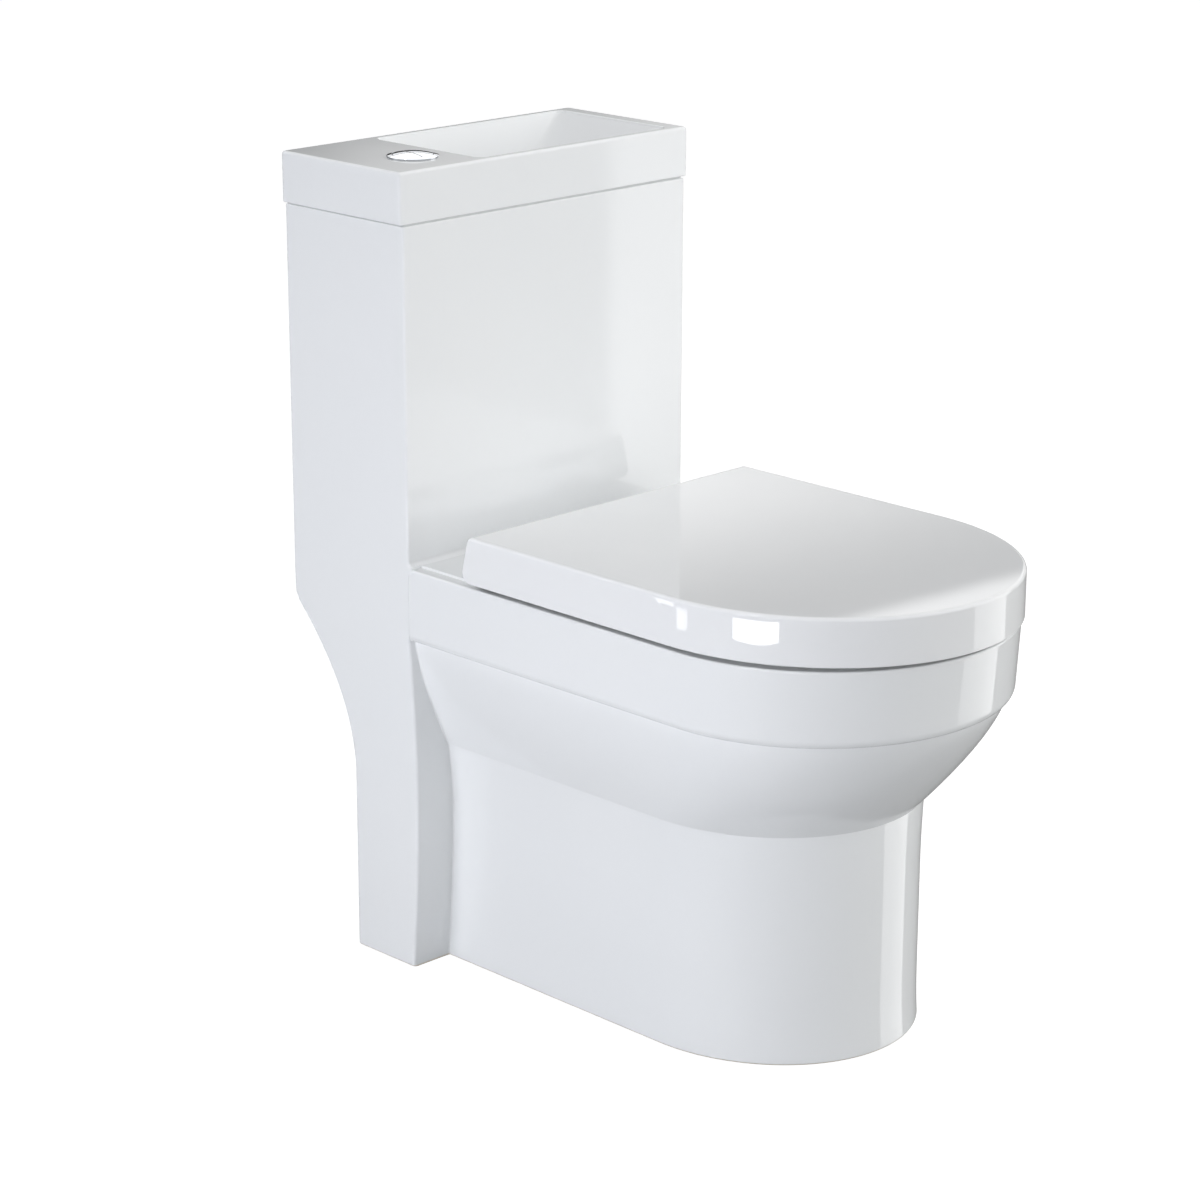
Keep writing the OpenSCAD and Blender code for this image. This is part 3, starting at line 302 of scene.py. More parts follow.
def egg(half_w, rear, front, z, squareness=2.2, steps=128):
    """A ring between an oval and a rectangle (superellipse)."""
    mid, half_l = (rear + front) / 2, (front - rear) / 2
    ring = []
    for i in range(steps):
        a = 2 * math.pi * i / steps
        c, s = math.cos(a), math.sin(a)
        ring.append((half_w * math.copysign(abs(c) ** (2 / squareness), c),
                     mid + half_l * math.copysign(abs(s) ** (2 / squareness), s), z))
    return ring


def tube(name, line, r, sides=48):
    """A round bar along a line of points, with mitred rings at its bends."""
    p = np.asarray(line, float)
    rings = []
    for i in range(len(p)):
        before = p[i] - p[i - 1] if i else p[1] - p[0]
        after = p[i + 1] - p[i] if i + 1 < len(p) else before
        before, after = before / np.linalg.norm(before), after / np.linalg.norm(after)
        along = (before + after) / np.linalg.norm(before + after)
        stretch = 1 / max(float(np.dot(along, before)), 0.3)
        side = np.array([1.0, 0, 0]) if abs(along[0]) < 0.5 else np.array([0, 0, 1.0])
        side = side - along * np.dot(side, along)
        side /= np.linalg.norm(side)
        up = np.cross(along, side)
        rings.append([tuple(p[i] + r * (math.cos(a) * side + stretch * math.sin(a) * up))
                      for a in np.linspace(0, 2 * math.pi, sides, endpoint=False)])
    return loft(name, rings)


def turned(name, x, d, profile, sides=96):
    """A solid of revolution about an upright axis; the profile runs from the axis to the axis."""
    points, faces, rows = [], [], []
    for r, z in profile:
        if r < ON_AXIS:
            rows.append([len(points)] * sides)
            points.append((x, d, z))
        else:
            rows.append(list(range(len(points), len(points) + sides)))
            points += [(x + r * math.cos(a), d + r * math.sin(a), z)
                       for a in np.linspace(0, 2 * math.pi, sides, endpoint=False)]
    for low, high in zip(rows, rows[1:]):
        for i in range(sides):
            k = (i + 1) % sides
            corners = list(dict.fromkeys((low[i], low[k], high[k], high[i])))
            if len(corners) > 2:
                faces.append(tuple(corners))
    return new_mesh(name, points, faces)


def block(name, x0, x1, d0, d1, z0, z1, r=0.0):
    if r:
        return loft(name, [rounded_rect(x0, x1, d0, d1, r, z) for z in (z0, z1)])
    return loft(name, [[(x0, d0, z), (x1, d0, z), (x1, d1, z), (x0, d1, z)] for z in (z0, z1)])


def baked(obj):
    """Applies an object's modifiers to its mesh."""
    bpy.context.view_layer.update()
    graph = bpy.context.evaluated_depsgraph_get()
    mesh = bpy.data.meshes.new_from_object(obj.evaluated_get(graph))
    old = obj.data
    obj.modifiers.clear()
    obj.data = mesh
    bpy.data.meshes.remove(old)
    return obj


def combined(base, operation, others):
    """Adds solids to the base, or cuts them out of it, one after another."""
    for other in others:
        step = base.modifiers.new("combine", "BOOLEAN")
        step.operation = operation
        step.solver = "MANIFOLD"
        step.object = other
        baked(base)
        mesh = other.data
        bpy.data.objects.remove(other)
        bpy.data.meshes.remove(mesh)
    return base


def added(base, *others):
    return combined(base, "UNION", others)


def cut(base, *others):
    return combined(base, "DIFFERENCE", others)


def shaded(obj, crease_angle=32):
    """Smooth shading with crisp creases, led by the large faces."""
    crease = math.radians(crease_angle)
    work = bmesh.new()
    work.from_mesh(obj.data)
    bmesh.ops.remove_doubles(work, verts=work.verts, dist=2e-6)
    bmesh.ops.dissolve_degenerate(work, edges=work.edges, dist=2e-6)
    for face in work.faces:
        face.smooth = True
    for edge in work.edges:
        edge.smooth = not (edge.is_manifold and edge.calc_face_angle(0) > crease)
    work.to_mesh(obj.data)
    work.free()
    weights = obj.modifiers.new("weights", "WEIGHTED_NORMAL")
    weights.keep_sharp = True
    weights.weight = 80
    return baked(obj)


# ---- the one-piece ware


def belly_share(z):
    return between(0, (z - CREASE_H) / (BAND_Z - CREASE_H), 1)


def foot_spread(z):
    return FOOT_FLARE * between(0, 1 - z / FOOT_FLARE_H, 1) ** 2


def pan_half_w(z):
    if z >= BAND_Z + BAND_R:
        return RIM_HALF_W
    if z >= BAND_Z:
        sweep = math.sqrt(1 - ((BAND_Z + BAND_R - z) / BAND_R) ** 2)
        return BELLY_TOP_HALF_W + (RIM_HALF_W - BELLY_TOP_HALF_W) * sweep
    if z >= CREASE_H:
        low = PEDESTAL_HALF_W + CREASE_FLARE
        return low + (BELLY_TOP_HALF_W - low) * (1 - (1 - belly_share(z)) ** 1.5)
    flare = CREASE_FLARE * between(0, z / CREASE_H * 3.2 - 2.2, 1) ** 2
    return PEDESTAL_HALF_W + flare + foot_spread(z)


def pan_front(z):
    if z >= BAND_Z:
        lean = BAND_TAPER * (RIM_H - z) / BAND_H
        share = between(0, (BAND_Z + BAND_R - z) / BAND_R, 1)
        return RIM_FRONT - lean - (BAND_R - 2) * (1 - math.sqrt(1 - share ** 2))
    if z >= CREASE_H:
        reach = BELLY_TOP_FRONT - BAND_R + 2 - PEDESTAL_FRONT
        return PEDESTAL_FRONT + reach * (1 - (1 - belly_share(z)) ** 1.25)
    return PEDESTAL_FRONT + foot_spread(z)


def nose_start(z):
    """Distance from the wall at which the sides start to curve round to the nose."""
    return NOSE_CENTRE - PEDESTAL_NOSE_BACK * (1 - belly_share(z)) ** 2


def leg_rear(z):
    """Distance from the wall to the back of the side panels, which swing forward lower down."""
    share = between(-SOFT_START, (REAR_RECESS_TOP - z) / (REAR_RECESS_TOP - REAR_RECESS_LOW), 1)
    if share < SOFT_START:
        share = (share + SOFT_START) ** 2 / SOFT_START / 4
    return REAR_RECESS * (1 - (1 - share) ** 2)


def leg_front(z):
    return CISTERN_D + LEG_BULGE * math.sin(math.pi * between(0, z / BAND_Z, 1)) + 0.01


def round_inset(z, low, high, r_low, r_high):
    """How far a rounded lower and upper edge draws an outline in at height z."""
    if z < low + r_low:
        return r_low - math.sqrt(max(r_low ** 2 - (low + r_low - z) ** 2, 0))
    if z > high - r_high:
        return r_high - math.sqrt(max(r_high ** 2 - (z - high + r_high) ** 2, 0))
    return 0.0


def pan_ring(z, nose_steps=56):
    """The outline of pan and side panels at height z."""
    lip_z = RIM_H - RIM_STEP
    inset = round_inset(min(z, lip_z), 0, lip_z, FOOT_EDGE_R, RIM_EDGE_R)
    if z > lip_z:
        inset += RIM_STEP_IN + (z - lip_z) * 0.5
    w = pan_half_w(z) - inset
    start = nose_start(z)
    reach = pan_front(z) - inset - start
    panel = max(SIDE_HALF_W - inset, w + 0.3)
    step = panel - w
    fillet, edge = min(LEG_FILLET_R, step * 0.45), min(LEG_EDGE_R, step * 0.45)
    back, front = leg_rear(z), leg_front(z)
    turns = [math.radians(90 * i / nose_steps) for i in range(nose_steps + 1)]
    half = [(w * math.sin(a), start + reach * math.cos(a)) for a in turns]
    half += [(w, start + (front + fillet - start) * t) for t in (0.25, 0.5, 0.75)]
    half += arc(w + fillet, front + fillet, fillet, 180, 270, 8)
    half += arc(panel - edge, front - edge, edge, 90, 0, 6)
    half += [(panel, back + (front - back) * 0.5)]
    half += arc(panel - LEG_EDGE_R, back + LEG_EDGE_R, LEG_EDGE_R, 0, -90, 6)
    return [(x, d, z) for x, d in half] + [(-x, d, z) for x, d in reversed(half[1:])]


def rounding_steps(z, r, up, count=6):
    """Heights that follow a rounded edge whose end lies at z."""
    return [z + (-1 if up else 1) * r * (1 - math.sin(math.pi / 2 * i / count))
            for i in range(count + 1)]


def pan_heights():
    heights = rounding_steps(0, FOOT_EDGE_R, False)
    heights += list(np.linspace(6, 140, 14)) + list(np.linspace(146, CREASE_H, 16))
    heights += [CREASE_H + (BAND_Z - CREASE_H) * (i / 34) ** 1.25 for i in range(1, 35)]
    heights += [BAND_Z + BAND_R * (1 - math.cos(math.pi / 2 * i / 9)) for i in range(1, 10)]
    heights += [341, 346, 366, 384] + rounding_steps(RIM_H - RIM_STEP, RIM_EDGE_R, True)
    heights += [RIM_H - RIM_STEP + 0.1, RIM_H]
    return sorted(set(round(h, 4) for h in heights))


# The toilet's bowl from the sump up: height, half width, rear and front
BOWL = [(SUMP_Z, TRAP_R, SUMP_D - TRAP_R, SUMP_D + TRAP_R), (150, 40, 302, 388),
        (178, 44, 304, 400), (204, 52, 304, 425), (232, 66, 304, 466), (262, 82, 306, 512),
        (294, 98, 311, 556), (328, 111, 317, 596),
        (358, MOUTH_HALF_W, MOUTH_REAR - 12, MOUTH_FRONT - 12),
        (376, MOUTH_HALF_W + 2, MOUTH_REAR - 4, MOUTH_FRONT - 1)]


def smooth_rows(rows, per_span=6):
    """Rows of numbers joined by a smooth curve through them all (Catmull-Rom)."""
    p = np.asarray(rows, float)
    p = np.vstack([2 * p[0] - p[1], p, 2 * p[-1] - p[-2]])
    out = []
    for i in range(1, len(p) - 2):
        for t in np.linspace(0, 1, per_span, endpoint=False):
            a = 2 * p[i] + (p[i + 1] - p[i - 1]) * t
            b = (2 * p[i - 1] - 5 * p[i] + 4 * p[i + 1] - p[i + 2]) * t ** 2
            c = (3 * p[i] - p[i - 1] - 3 * p[i + 1] + p[i + 2]) * t ** 3
            out.append((a + b + c) / 2)
    return out + [p[-2]]


def lip_steps(r, count):
    """A rounded lip from its inside up: how far out and how far below the top each step lies."""
    turns = [math.pi / 2 * i / count for i in range(count + 1)]
    return [(r * (1 - math.cos(a)), r * (1 - math.sin(a))) for a in turns]


def mouth(out, z):
    return egg(MOUTH_HALF_W + out, MOUTH_REAR - out, MOUTH_FRONT + out, z)


def bowl(name, grow, inside):
    """The toilet's bowl as a solid: its hollow with a rounded lip, or the wall round it."""
    rows = smooth_rows(BOWL)
    rings = [egg(w + grow, rear - grow, front + grow, z) for z, w, rear, front in rows]
    if not inside:
        return loft(name, rings + [mouth(grow, RIM_H - 6)])
    rings += [mouth(out, RIM_H - drop) for out, drop in lip_steps(MOUTH_LIP_R, 6)]
    return loft(name, rings + [mouth(MOUTH_LIP_R, RIM_H + 3)])


def trapway(name, r):
    """Bars along the trap with a ball at each knee, each a little thicker than the last."""
    line = [(0, d, z) for d, z in TRAP_LINE]
    pieces = [tube(f"{name}_{i}", line[i:i + 2], r + 0.4 * i) for i in range(len(line) - 1)]
    for i, (x, d, z) in enumerate(line[:-1]):
        size = r + 0.4 * i
        ball = [(size * math.sin(a), z - size * math.cos(a)) for a in np.linspace(0, math.pi, 24)]
        pieces.append(turned(f"{name}_knee_{i}", x, d, ball, 48))
    return pieces


def skirt_hollow():
    """The space under the bowl, which leaves the skirt's wall."""
    rings = []
    for z in [-5, 60, 150, 190, CREASE_H, 232, 250, 275, 300, BAND_Z - 4, RIM_H - RIM_SLAB_T]:
        w, start = pan_half_w(z) - WARE_T, nose_start(z)
        reach = pan_front(z) - WARE_T - start
        turns = [math.radians(90 * i / 40) for i in range(-40, 41)]
        nose = [(w * math.sin(a), start + reach * math.cos(a), z) for a in turns]
        rings.append(nose + [(w, SKIRT_REAR, z), (-w, SKIRT_REAR, z)])
    return loft("skirt_hollow", rings)


def cistern_shell():
    heights = ([RIM_H - 40, RIM_H + 100, RIM_H + 200, CISTERN_TOP - 40]
               + rounding_steps(CISTERN_TOP, 1.2, True, 3))
    rings = []
    for z in heights:
        inset = round_inset(z, 0, CISTERN_TOP, 1, 1.2)
        rings.append(rounded_rect(-SIDE_HALF_W + inset, SIDE_HALF_W - inset, inset,
                                  CISTERN_D - inset, CISTERN_EDGE_R - inset, z, 8))
    return loft("cistern_shell", rings)


def deck_cove():
    """The hollow corner where the cistern rises from the deck."""
    turns = np.linspace(0, math.pi / 2, 7)
    left = [(-SIDE_HALF_W + CISTERN_EDGE_R * (1 - math.cos(a)), CISTERN_EDGE_R * (1 - math.sin(a)))
            for a in turns]
    start = CISTERN_D - CISTERN_EDGE_R - 8
    slices = []
    for x, inset in left + [(-x, inset) for x, inset in reversed(left)]:
        edge, low = CISTERN_D - inset, RIM_H - min(inset, RIM_EDGE_R)
        hollow = [(edge + COVE_R * (1 - math.cos(a)), low + COVE_R * (1 - math.sin(a)))
                  for a in np.linspace(0, math.pi / 2, 10)]
        outline = [(start, low + COVE_R), *hollow, (edge + COVE_R, low - 5), (start, low - 5)]
        slices.append([(x, d, z) for d, z in outline])
    return loft("deck_cove", slices)


def straight_bore(x, d, r, low, high):
    return turned("bore", x, d, [(0, low), (r, low), (r, high), (0, high)], 48)


def glazed_ware():
    """Pan, bowl, side panels and cistern: one casting, hollow below and at the back."""
    body = loft("glazed_ware", [pan_ring(z) for z in pan_heights()])
    added(body, cistern_shell(), deck_cove())
    cut(
        body,
        skirt_hollow(),
        block("pipe_space", -PIPE_SPACE_HALF_W, PIPE_SPACE_HALF_W, -20, PIPE_SPACE_D, -5,
              TANK_UNDER, 6),
        block("tank", -SIDE_HALF_W + TANK_WALL, SIDE_HALF_W - TANK_WALL, TANK_WALL,
              CISTERN_D - TANK_WALL, TANK_FLOOR, CISTERN_TOP + 5, 4))
    boss = [(0, BOSS_Z), (BOSS_R - 3, BOSS_Z), (BOSS_R, BOSS_Z + 3), (BOSS_R, TANK_UNDER + 2),
            (0, TANK_UNDER + 2)]
    added(
        body,
        bowl("bowl_wall", WARE_T - 2, False),
        *trapway("trap_wall", TRAP_R + TRAP_WALL),
        tube("duct_wall", DUCT_LINE, DUCT_R + DUCT_WALL),
        turned("valve_boss", BUTTON_X, BUTTON_D, boss),
        tube("spigot", [(0, PIPE_SPACE_D + 1, OUTLET_H), (0, OUTLET_END + 1.5, OUTLET_H)],
             OUTLET_R, 96),
        tube("spigot_end", [(0, PIPE_SPACE_D, OUTLET_H), (0, OUTLET_END, OUTLET_H)],
             OUTLET_R - 1.2, 96),
        *[block("floor_lug", x - FLOOR_LUG_HALF_W, x + FLOOR_LUG_HALF_W,
                FLOOR_HOLE_D - FLOOR_LUG_HALF_W, FLOOR_HOLE_D + FLOOR_LUG_HALF_W, 0, FLOOR_LUG_H, 5)
          for x in (-FLOOR_HOLE_X, FLOOR_HOLE_X)])
    cut(
        body,
        bowl("bowl_hollow", 0, True),
        *trapway("trap_hollow", TRAP_R),
        tube("duct_hollow", DUCT_LINE, DUCT_R),
        tube("outlet_bore", [(0, SKIRT_REAR + 1, OUTLET_H), (0, OUTLET_END - 5, OUTLET_H)],
             OUTLET_BORE_R, 96),
        straight_bore(BUTTON_X, BUTTON_D, VALVE_BORE_R, DUCT_LINE[0][2], TANK_FLOOR + 1),
        straight_bore(FILL_X, FILL_D, FILL_BORE_R, TANK_UNDER - 1, TANK_FLOOR + 1),
        *[straight_bore(BUTTON_X + VALVE_BOLT_AT * math.cos(a),
                        BUTTON_D - VALVE_BOLT_AT * math.sin(a), VALVE_BOLT_R, TANK_UNDER - 1,
                        TANK_FLOOR + 1) for a in (math.pi / 6, math.pi * 5 / 6)],
        *[straight_bore(x, HINGE_D, HINGE_BORE_R, RIM_H - 20, RIM_H + 1)
          for x in (-HINGE_X, HINGE_X)],
        *[straight_bore(x, FLOOR_HOLE_D, FLOOR_HOLE_R, -1, FLOOR_LUG_H + 1)
          for x in (-FLOOR_HOLE_X, FLOOR_HOLE_X)])
    return shaded(body)


# ---- wash basin and its waste

# The basin's bowl from its floor up: share of the narrowing, share of the depth, corner radius
HOPPER = [(1.42, 1, 21), (1.2, 0.985, 21), (1.05, 0.92, 18), (0.95, 0.82, 15), (0.55, 0.46, 7),
          (0.08, 0.09, 1), (0, 0.03, 0)]


def hopper_ring(share, z, r, grow):
    """The basin's bowl at one height: it narrows most from the right, like a hopper."""
    return rounded_rect(HOPPER_LEFT + 27 * share - grow, HOPPER_RIGHT - HOPPER_RUN * share + grow,
                        HOPPER_RIM + 31 * share - grow,
                        CISTERN_D - HOPPER_RIM - 14 * share + grow, r + 9 + grow, z, 12)


def hopper(grow, drop):
    return [hopper_ring(share, OVERALL_H - HOPPER_DEPTH * depth - drop, max(r, 0), grow)
            for share, depth, r in smooth_rows(HOPPER, 7)]


def wash_basin():
    low = OVERALL_H - BASIN_H
    heights = (rounding_steps(low, BASIN_LOW_R, False)
               + rounding_steps(OVERALL_H, BASIN_EDGE_R, True, 8))
    rings = []
    for z in sorted(heights):
        inset = round_inset(z, low, OVERALL_H, BASIN_LOW_R, BASIN_EDGE_R)
        rings.append(rounded_rect(-BASIN_HALF_W + inset, BASIN_HALF_W - inset, inset,
                                  CISTERN_D - inset, BASIN_CORNER_R - 0.6 * inset, z, 12))
    body = loft("wash_basin", rings)
    side = BASIN_HALF_W - SIDE_HALF_W + BASIN_WALL
    cut(body, block("basin_underside", -BASIN_HALF_W + side, BASIN_HALF_W - side, side,
                    CISTERN_D - side, low - 5, OVERALL_H - BASIN_WALL, 3))
    under = hopper(BASIN_WALL - 1, BASIN_WALL - 1)
    under.append(hopper_ring(0, OVERALL_H - BASIN_WALL + 2, 0, BASIN_WALL - 1))
    added(body, loft("hopper_wall", under))
    hollow = hopper(0, 0)
    hollow += [hopper_ring(0, OVERALL_H - drop, 0, out) for out, drop in lip_steps(HOPPER_LIP_R, 7)]
    hollow.append(hopper_ring(0, OVERALL_H + 2, 0, HOPPER_LIP_R + 0.2))
    cut(
        body,
        loft("hopper_hollow", hollow),
        straight_bore(DRAIN_X, DRAIN_D, DRAIN_BORE_R, OVERALL_H - HOPPER_DEPTH - 20,
                      OVERALL_H - HOPPER_DEPTH + 1),
        straight_bore(BUTTON_X, BUTTON_D, RING_BORE_R, OVERALL_H - 20, OVERALL_H + 1))
    return shaded(body)


def drain_strainer():
    """Chromed waste: a flange with a rolled edge, its threaded tail and a cross in its mouth."""
    z = OVERALL_H - HOPPER_DEPTH
    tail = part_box("basin_waste")[0].z / MM
    profile = [(18.5, tail), (21.5, tail), (21.5, z), (29, z), *arc(29, z + 1, 1, -90, 60),
               (26, z + 2), *arc(20, z + 0.5, 1.5, 90, 180), (18.5, tail)]
    body = turned("drain_strainer", DRAIN_X, DRAIN_D, profile)
    bars = []
    for turn in (45, 135):
        c, s = math.cos(math.radians(turn)), math.sin(math.radians(turn))
        across, lengthways = Vector((-s, c)), Vector((c, s))
        corners = [lengthways * a + across * b
                   for a, b in ((-19, -1.5), (19, -1.5), (19, 1.5), (-19, 1.5))]
        bars.append(loft("strainer_bar", [[(DRAIN_X + p.x, DRAIN_D + p.y, level) for p in corners]
                                          for level in (z - 4, z - 1)]))
    return shaded(added(body, *bars))


# ---- flush button


def dome_z(r):
    """Height of the button's crown at a distance from its axis."""
    return DOME_TOP - DOME_R + math.sqrt(DOME_R ** 2 - r ** 2)


def button_surround():
    """A low bezel that carries the button's crown on to the deck, open in the middle."""
    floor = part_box("button_ring")[0].z / MM
    rim_z = dome_z(RING_R - 0.5)
    inner = RING_MOUTH_R + 0.25
    crown = [(r, dome_z(r)) for r in np.linspace(RING_R - 0.6, RING_MOUTH_R + 0.5, 10)]
    profile = [(0, floor), (RING_NECK_R, floor), (RING_NECK_R, OVERALL_H),
               (RING_R - 0.3, OVERALL_H), (RING_R, OVERALL_H + 0.3), (RING_R, rim_z - 0.5),
               *arc(RING_R - 0.5, rim_z - 0.5, 0.5, 0, 70), *crown,
               *arc(inner, dome_z(inner) - 0.25, 0.25, 90, 180), (RING_MOUTH_R, floor + 3),
               (0, floor + 3)]
    body = turned("button_surround", BUTTON_X, BUTTON_D, profile, 128)
    for x in (FULL_STEM_X, HALF_STEM_X):
        cut(body, straight_bore(BUTTON_X + x, BUTTON_D, STEM_HOLE_R, floor - 1, floor + 4))
    return shaded(body)


def button_half(name, side, stem_x, stem_low):
    """The right (1) or left (-1) part of the split, domed button, with soft edges and its stem."""
    under, top = OVERALL_H - 2, DOME_TOP
    dome = [(r, dome_z(r)) for r in np.linspace(18.3, 0, 24)]
    edge_z = dome[0][1]
    profile = [(0, under), (BUTTON_R, under), (BUTTON_R, edge_z - 0.75),
               *arc(BUTTON_R - 0.7, edge_z - 0.7, 0.7, 0, 70), *dome[1:-1], (0, top)]
    body = turned(name, BUTTON_X, BUTTON_D, profile, 128)
    cut_away = (-40, BUTTON_SPLIT) if side > 0 else (-BUTTON_SPLIT, 60)
    x0, x1 = (BUTTON_SPLIT_X + x for x in cut_away)
    cut(body, block("split", x0, x1, BUTTON_D - 30, BUTTON_D + 30, under - 5, top + 5))
    soften(body, 0.45, 3, 50)
    added(body, straight_bore(BUTTON_X + stem_x, BUTTON_D, STEM_R, stem_low, under + 1))
    return shaded(body)


def soften(obj, width, segments, angle):
    """Rounds the edges that are sharper than the angle, in degrees."""
    step = obj.modifiers.new("soften", "BEVEL")
    step.width = width * MM
    step.segments = segments
    step.limit_method = "ANGLE"
    step.angle_limit = math.radians(angle)
    step.miter_outer = "MITER_ARC"
    return baked(obj)


# ---- lid, seat and their pads


def d_outline(half_w, front, rear, corner_r, z, nose_steps=60):
    """A D in plan: a round front, straight sides and a straight back with round corners."""
    reach = front - LID_NOSE_START
    turns = [math.radians(90 * i / nose_steps) for i in range(-nose_steps, nose_steps + 1)]
    ring = [(half_w * math.sin(a), LID_NOSE_START + reach * math.cos(a)) for a in turns]
    ring += arc(half_w - corner_r, rear + corner_r, corner_r, 0, -90, 8)
    ring += arc(corner_r - half_w, rear + corner_r, corner_r, -90, -180, 8)
    return [(x, d, z) for x, d in ring]


def lid_back(z, inset):
    """Distance from the wall to the lid's back: a leaning line between round heel and crown."""
    slope = math.tan(LID_LEAN)
    heel_z, crown_z = LID_Z + HEEL_R, LID_TOP - CROWN_R
    heel_d = LID_REAR + HEEL_R * slope + HEEL_R / math.cos(LID_LEAN)
    crown_d = LID_REAR + (crown_z - LID_Z) * slope + CROWN_R / math.cos(LID_LEAN)
    heel, crown = HEEL_R - inset, CROWN_R - inset
    if z < heel_z + heel * math.sin(LID_LEAN):
        return heel_d - math.sqrt(max(heel ** 2 - (z - heel_z) ** 2, 0))
    if z > crown_z + crown * math.sin(LID_LEAN):
        return crown_d - math.sqrt(max(crown ** 2 - (z - crown_z) ** 2, 0))
    return LID_REAR + (z - LID_Z) * slope + inset / math.cos(LID_LEAN)


def hinge_bar(x0, x1, r, sides=48):
    """A round bar along the hinge's axis."""
    return tube("hinge_bar", [(x0, HINGE_D, HINGE_Z), (x1, HINGE_D, HINGE_Z)], r, sides)


def wrap_over_lid():
    """The lid: a D with a leaning back, hollow below, notched and eared for the hinges."""
    heights = (rounding_steps(LID_Z, LID_LOW_R, False, 4)
               + list(np.linspace(LID_Z + 1.5, LID_TOP - 7, 22))
               + rounding_steps(LID_TOP, LID_EDGE_R, True, 9))
    rings = []
    for z in sorted(heights):
        inset = round_inset(z, LID_Z, LID_TOP, LID_LOW_R, LID_EDGE_R)
        rings.append(d_outline(LID_HALF_W - inset, LID_FRONT - inset, lid_back(z, 0),
                               LID_CORNER_R, z))
    body = loft("wrap_over_lid", rings)
    hollow, roof = [], LID_TOP - LID_T
    for z in sorted([LID_Z - 3, LID_Z] + list(np.linspace(LID_Z + 4, roof - 3, 14))
                    + rounding_steps(roof, 2, True, 4)):
        inset = LID_T + round_inset(z, 0, roof, 1, 2)
        hollow.append(d_outline(LID_HALF_W - inset, LID_FRONT - inset,
                                lid_back(max(z, LID_Z), LID_T), 2, z))
    cut(body, loft("lid_hollow", hollow))
    cut(body, *[block("hinge_notch", *on_side(side, LID_NOTCH), LID_REAR - 6.5, HINGE_D + 9,
                      LID_Z - 3, roof) for side in (-1, 1)])
    soften(body, 0.6, 2, 60)
    for side in (-1, 1):
        x0, x1 = on_side(side, LID_KNUCKLE)
        ear = block("lid_ear", x0, x1, HINGE_D, HINGE_D + KNUCKLE_R, HINGE_Z, roof + 1, 1)
        added(body, hinge_bar(x0, x1, KNUCKLE_R, 64), ear)
        cut(body, hinge_bar(x0 - 1, x1 + 1, PIN_HOLE_R))
    return shaded(body)


def opening_ring(out, z, steps=40):
    """The seat's opening: two half rounds joined by straight sides."""
    r = SEAT_OPEN_HALF_W + out
    front, rear = SEAT_OPEN_FRONT - SEAT_OPEN_HALF_W, SEAT_OPEN_REAR + SEAT_OPEN_HALF_W
    plan = arc(0, front, r, 0, 180, steps) + arc(0, rear, r, 180, 360, steps)
    return [(x, d, z) for x, d in plan]


def ring_seat():
    """The seat: a D with a long opening, and arms to its hinges that hold pins and dampers."""
    low, high = SEAT_Z, SEAT_TOP
    heights = (rounding_steps(low, SEAT_LOW_R, False) + [low + 10, high - 10]
               + rounding_steps(high, SEAT_EDGE_R, True, 10))
    rings = []
    for z in sorted(heights):
        inset = round_inset(z, low, high, SEAT_LOW_R, SEAT_EDGE_R)
        rings.append(d_outline(SEAT_HALF_W - inset, SEAT_FRONT - inset, SEAT_REAR + inset * 0.5,
                               SEAT_CORNER_R - inset * 0.6, z))
    body = loft("ring_seat", rings)
    hollow = [opening_ring(SEAT_LOW_R + 1, low - 2)]
    for z in sorted(heights):
        hollow.append(opening_ring(round_inset(z, low, high, SEAT_LOW_R, SEAT_EDGE_R), z))
    hollow.append(opening_ring(SEAT_EDGE_R + 1, high + 2))
    cut(body, loft("seat_opening", hollow))
    for side in (-1, 1):
        x0, x1 = on_side(side, SEAT_KNUCKLE)
        arm = block("seat_arm", x0, x1, HINGE_D, SEAT_REAR + 6, HINGE_Z - 7, HINGE_Z + 7)
        added(body, hinge_bar(x0, x1, KNUCKLE_R, 64), arm)
        cut(body, hinge_bar(*on_side(side, SEAT_PIN_HOLE), PIN_HOLE_R),
            hinge_bar(*on_side(side, SEAT_DAMPER_HOLE), DAMPER_HOLE_R))
    return shaded(body)


def pad(x, d, turn, half_l, half_w, low, high, edge_r=1.0):
    """A moulded rubber pad with round ends and a soft edge."""
    c, s = math.cos(math.radians(turn)), math.sin(math.radians(turn))
    rings = []
    heights = rounding_steps(low, edge_r, False, 4) + rounding_steps(high, edge_r, True, 4)
    for z in sorted(heights):
        r = half_w - round_inset(z, low, high, edge_r, edge_r)
        straight = half_l - half_w
        plan = arc(straight, 0, r, -90, 90, 12) + arc(-straight, 0, r, 90, 270, 12)
        rings.append([(x + a * c - b * s, d + a * s + b * c, z) for a, b in plan])
    return loft("pad", rings)


def pads(name, r, half_l, half_w, low, high):
    """Four pads: two beside the opening near the back, two at the front."""
    made = [pad(side * r, SEAT_OPEN_REAR, 90, half_l, half_w, low, high) for side in (-1, 1)]
    for side in (-1, 1):
        a = math.radians(PAD_TURN)
        made.append(pad(side * r * math.sin(a), LID_CENTRE + r * math.cos(a), -side * PAD_TURN,
                        half_l, half_w, low, high))
    first = added(*made)
    first.name = name
    return shaded(first)


